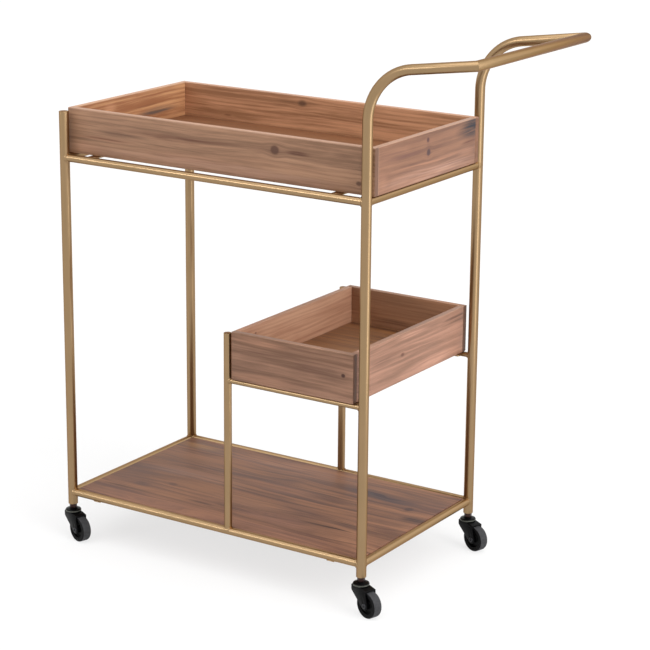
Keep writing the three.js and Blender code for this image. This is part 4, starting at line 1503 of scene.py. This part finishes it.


# The boards' grain. Each board's light and dark colours were fitted to its face one by one, so they
# hold painted light as well as the wood's own tone: the same fir is painted paler on the inner
# walls than on the outer ones, for the light and shade that fall on each face.

TOP_GRAINS = {
    "front": Grain(
        "fir_top_front", light="#a67f64", dark="#7b5b46", seed=1.3, contrast=1.3, edge_wear_highlight=3.0,
        marks=(
            Mark(130, 49, 85, 11, "#533a2e", 0.55),
            Mark(290, 22, 150, 12, "#bd8e72", 0.45),
            Mark(38, 12, 62, 13, "#bd8e72", 0.5),
            Mark(90, 78, 72, 8, "#5a3d30", 0.4),
            Mark(470, 54, 75, 9, "#5a3d30", 0.3),
            Mark(620, 66, 30, 7, "#5a3d30", 0.35),
            Mark(330, 10, 420, 16, "#bd9580", 0.4),
            Mark(250, 57, 190, 8, "#624030", 0.75),
            Mark(85, 34, 100, 4, "#6b3f30", 0.6),
            Mark(480, 33, 170, 9, "#624030", 0.3),
            Mark(527, 58, 36, 6, "#58382a", 0.85),
            Mark(477, 59.5, 12, 11, "#4c3026", 0.8, 0.5, knot=True),
            Mark(656, 20, 8, 5.5, "#4c3026", 0.75, 0.6, knot=True),
        ),
    ),
    "right": Grain(
        "fir_top_right", light="#8d6650", dark="#644537", seed=4.1, contrast=1.15,
        marks=(
            Mark(200, 32, 260, 7, "#a0745c", 0.6),
            Mark(8, 18, 32, 22, "#a0745c", 0.5),
            Mark(312, 27, 42, 14, "#a0745c", 0.5),
            Mark(305, 66, 45, 20, "#2c2629", 0.4),
            Mark(125, 68, 42, 8, "#4e3529", 0.3),
            Mark(200, 12, 70, 10, "#4e3529", 0.25),
            Mark(190, 10, 230, 20, "#bd937e", 0.45),
            Mark(85, 56, 90, 8, "#64443d", 0.5),
            Mark(60, 66, 70, 3, "#64443d", 0.4),
            Mark(172, 60, 9, 26, "#674741", 0.3),
            Mark(330, 45, 45, 5, "#502b23", 0.6),
            Mark(336, 70, 52, 26, "#232229", 1.0, 0.9),
            Mark(352, 73, 26, 15, "#23252c", 0.9, 0.9),
            Mark(170, 73, 6.5, 6, "#422b2f", 0.8, 0.6, knot=True),
            Mark(173, 49.5, 9, 8.5, "#3e2e31", 0.85, 0.6, knot=True),
        ),
    ),
    "back": Grain(
        "fir_top_back", light="#ca946f", dark="#956849", seed=7.7, contrast=1.5,
        marks=(
            Mark(265, 74, 38, 2.6, "#66432e", 0.5),
            Mark(322, 74.5, 26, 2.2, "#66432e", 0.45),
            Mark(118, 31, 14, 3, "#633f2b", 0.55),
            Mark(298, 73, 15, 9, "#593c2b", 0.85, 0.75, knot=True),
        ),
    ),
    "left": Grain(
        "fir_top_left", light="#ce9b6f", dark="#9c6847", seed=2.9, contrast=1.5,
        marks=(
            Mark(250, 41, 85, 9, "#62524a", 0.75),
            Mark(215, 55, 50, 3, "#825841", 0.5),
            # A painted highlight: the orange glow of light on the inner wall.
            Mark(100, 68, 28, 14, "#d29c78", 0.4),
        ),
    ),
    "base": Grain("fir_top_base", light="#7d5335", dark="#684127", seed=5.2),
}

MID_GRAINS = {
    "front": Grain(
        "fir_mid_front", light="#936e59", dark="#6c4d3b", edge_wear_highlight_strength=0.35, seed=8.4, contrast=1.4,
        marks=(
            Mark(65, 82, 85, 12, "#ae8066", 0.5),
            Mark(60, 8, 120, 16, "#ae8066", 0.4),
            Mark(225, 48, 58, 24, "#4e3529", 0.4),
            Mark(170, 54, 40, 9, "#5b3c31", 0.4),
            Mark(165, 66, 85, 2.6, "#5b3d30", 0.5),
            Mark(60, 62, 48, 2.4, "#5b3d30", 0.4),
            Mark(160, 44, 62, 6, "#5b3c31", 0.3),
            Mark(246.5, 50.5, 6, 5, "#321914", 0.9, 0.6, knot=True),
        ),
    ),
    "right": Grain(
        "fir_mid_right", light="#a17864", dark="#7b5a48", edge_wear_highlight_strength=0.35, seed=3.6, contrast=1.35,
        marks=(
            Mark(270, 10, 175, 17, "#c2917a", 0.5),
            Mark(85, 55, 62, 22, "#5a4033", 0.38),
            Mark(190, 82, 85, 8, "#c2917a", 0.4),
            # A painted shadow of the front right leg, at the board's front end.
            Mark(6, 45, 18, 52, "#5a4033", 0.4),
            Mark(355, 79, 68, 4, "#4b3228", 0.65),
            Mark(350, 70, 62, 3, "#4b3228", 0.55),
            Mark(125, 59, 62, 3, "#744d3b", 0.45),
            Mark(159, 51.5, 9, 5, "#553225", 0.7, 0.7, knot=True),
        ),
    ),
    "back": Grain(
        "fir_mid_back", light="#ad7e5e", dark="#876147", edge_wear_highlight_strength=0.35, seed=6.3,
        marks=(Mark(110, 32, 95, 8, "#5a3c2c", 0.55),),
    ),
    "left": Grain(
        "fir_mid_left", light="#cb9e81", dark="#9f6f56", edge_wear_highlight_strength=0.35, seed=9.5,
        marks=(Mark(50, 77, 4, 3, "#754d42", 0.7, 0.5, knot=True),),
    ),
    "base": Grain(
        "fir_mid_base", light="#986c49", dark="#68462e", seed=1.9, contrast=1.3,
        marks=(
            Mark(170, 330, 150, 12, "#4e352b", 0.5),
            Mark(190, 270, 120, 18, "#4e352b", 0.45),
            # Painted light: the lit band on the floor along the foot of the back wall.
            Mark(120, 370, 130, 14, "#a5703f", 0.4),
        ),
    ),
}

SHELF_GRAIN = Grain(
    "fir_shelf", light="#91684f", dark="#58392d", seed=5.8,
    ring_spacing=17.0, contrast=1.35, sway=62.0,
    marks=(
        Mark(280, 345, 210, 58, "#a97a60", 0.5),
        Mark(55, 190, 200, 135, "#4e3529", 0.33),
        # These three broad dark patches are painted shade under the short tray.
        Mark(645, 125, 80, 48, "#3a2622", 0.55),
        Mark(610, 205, 95, 42, "#4a332b", 0.32),
        Mark(590, 340, 95, 48, "#4a332b", 0.4),
        Mark(330, 18, 430, 38, "#a2735c", 0.35),
        Mark(420, 78, 115, 28, "#a2735c", 0.45),
        Mark(330, 225, 105, 30, "#a2735c", 0.3),
        Mark(50, 345, 75, 26, "#a37a50", 0.5),
        Mark(150, 190, 160, 34, "#a27a66", 0.4),
        Mark(330, 120, 120, 30, "#a1765d", 0.4),
        Mark(80, 311, 98, 11, "#4a2f28", 0.6),
        Mark(280, 330, 120, 14, "#4c312a", 0.55),
        Mark(520, 300, 115, 14, "#423130", 0.85),
        Mark(645, 222, 40, 18, "#3b2a26", 0.8),
        Mark(560, 120, 90, 20, "#42302c", 0.75),
        Mark(400, 210, 110, 9, "#4c3430", 0.6),
        Mark(75, 60, 95, 13, "#42302c", 0.75),
        Mark(248, 68, 45, 8, "#42302c", 0.7),
        Mark(87, 95, 26, 10, "#443532", 0.6),
        Mark(530, 97, 75, 4, "#30201c", 0.9),
        Mark(140, 128, 15, 9, "#4c312b", 0.5, 0.8, knot=True),
        Mark(607, 271, 12, 13, "#3c2520", 0.8, 0.6, knot=True),
    ),
)


def main() -> None:
    """Builds every sub-assembly in order and then the studio."""
    logging.basicConfig(level=logging.INFO, format="%(name)s: %(message)s")
    TubeFrame().build()
    Tray("top_tray", TOP_GRAINS).build()
    Tray("mid_tray", MID_GRAINS).build()
    Shelf(SHELF_GRAIN).build()
    Casters().build()
    Studio().build()
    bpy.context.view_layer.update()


if __name__ == "__main__":
    main()
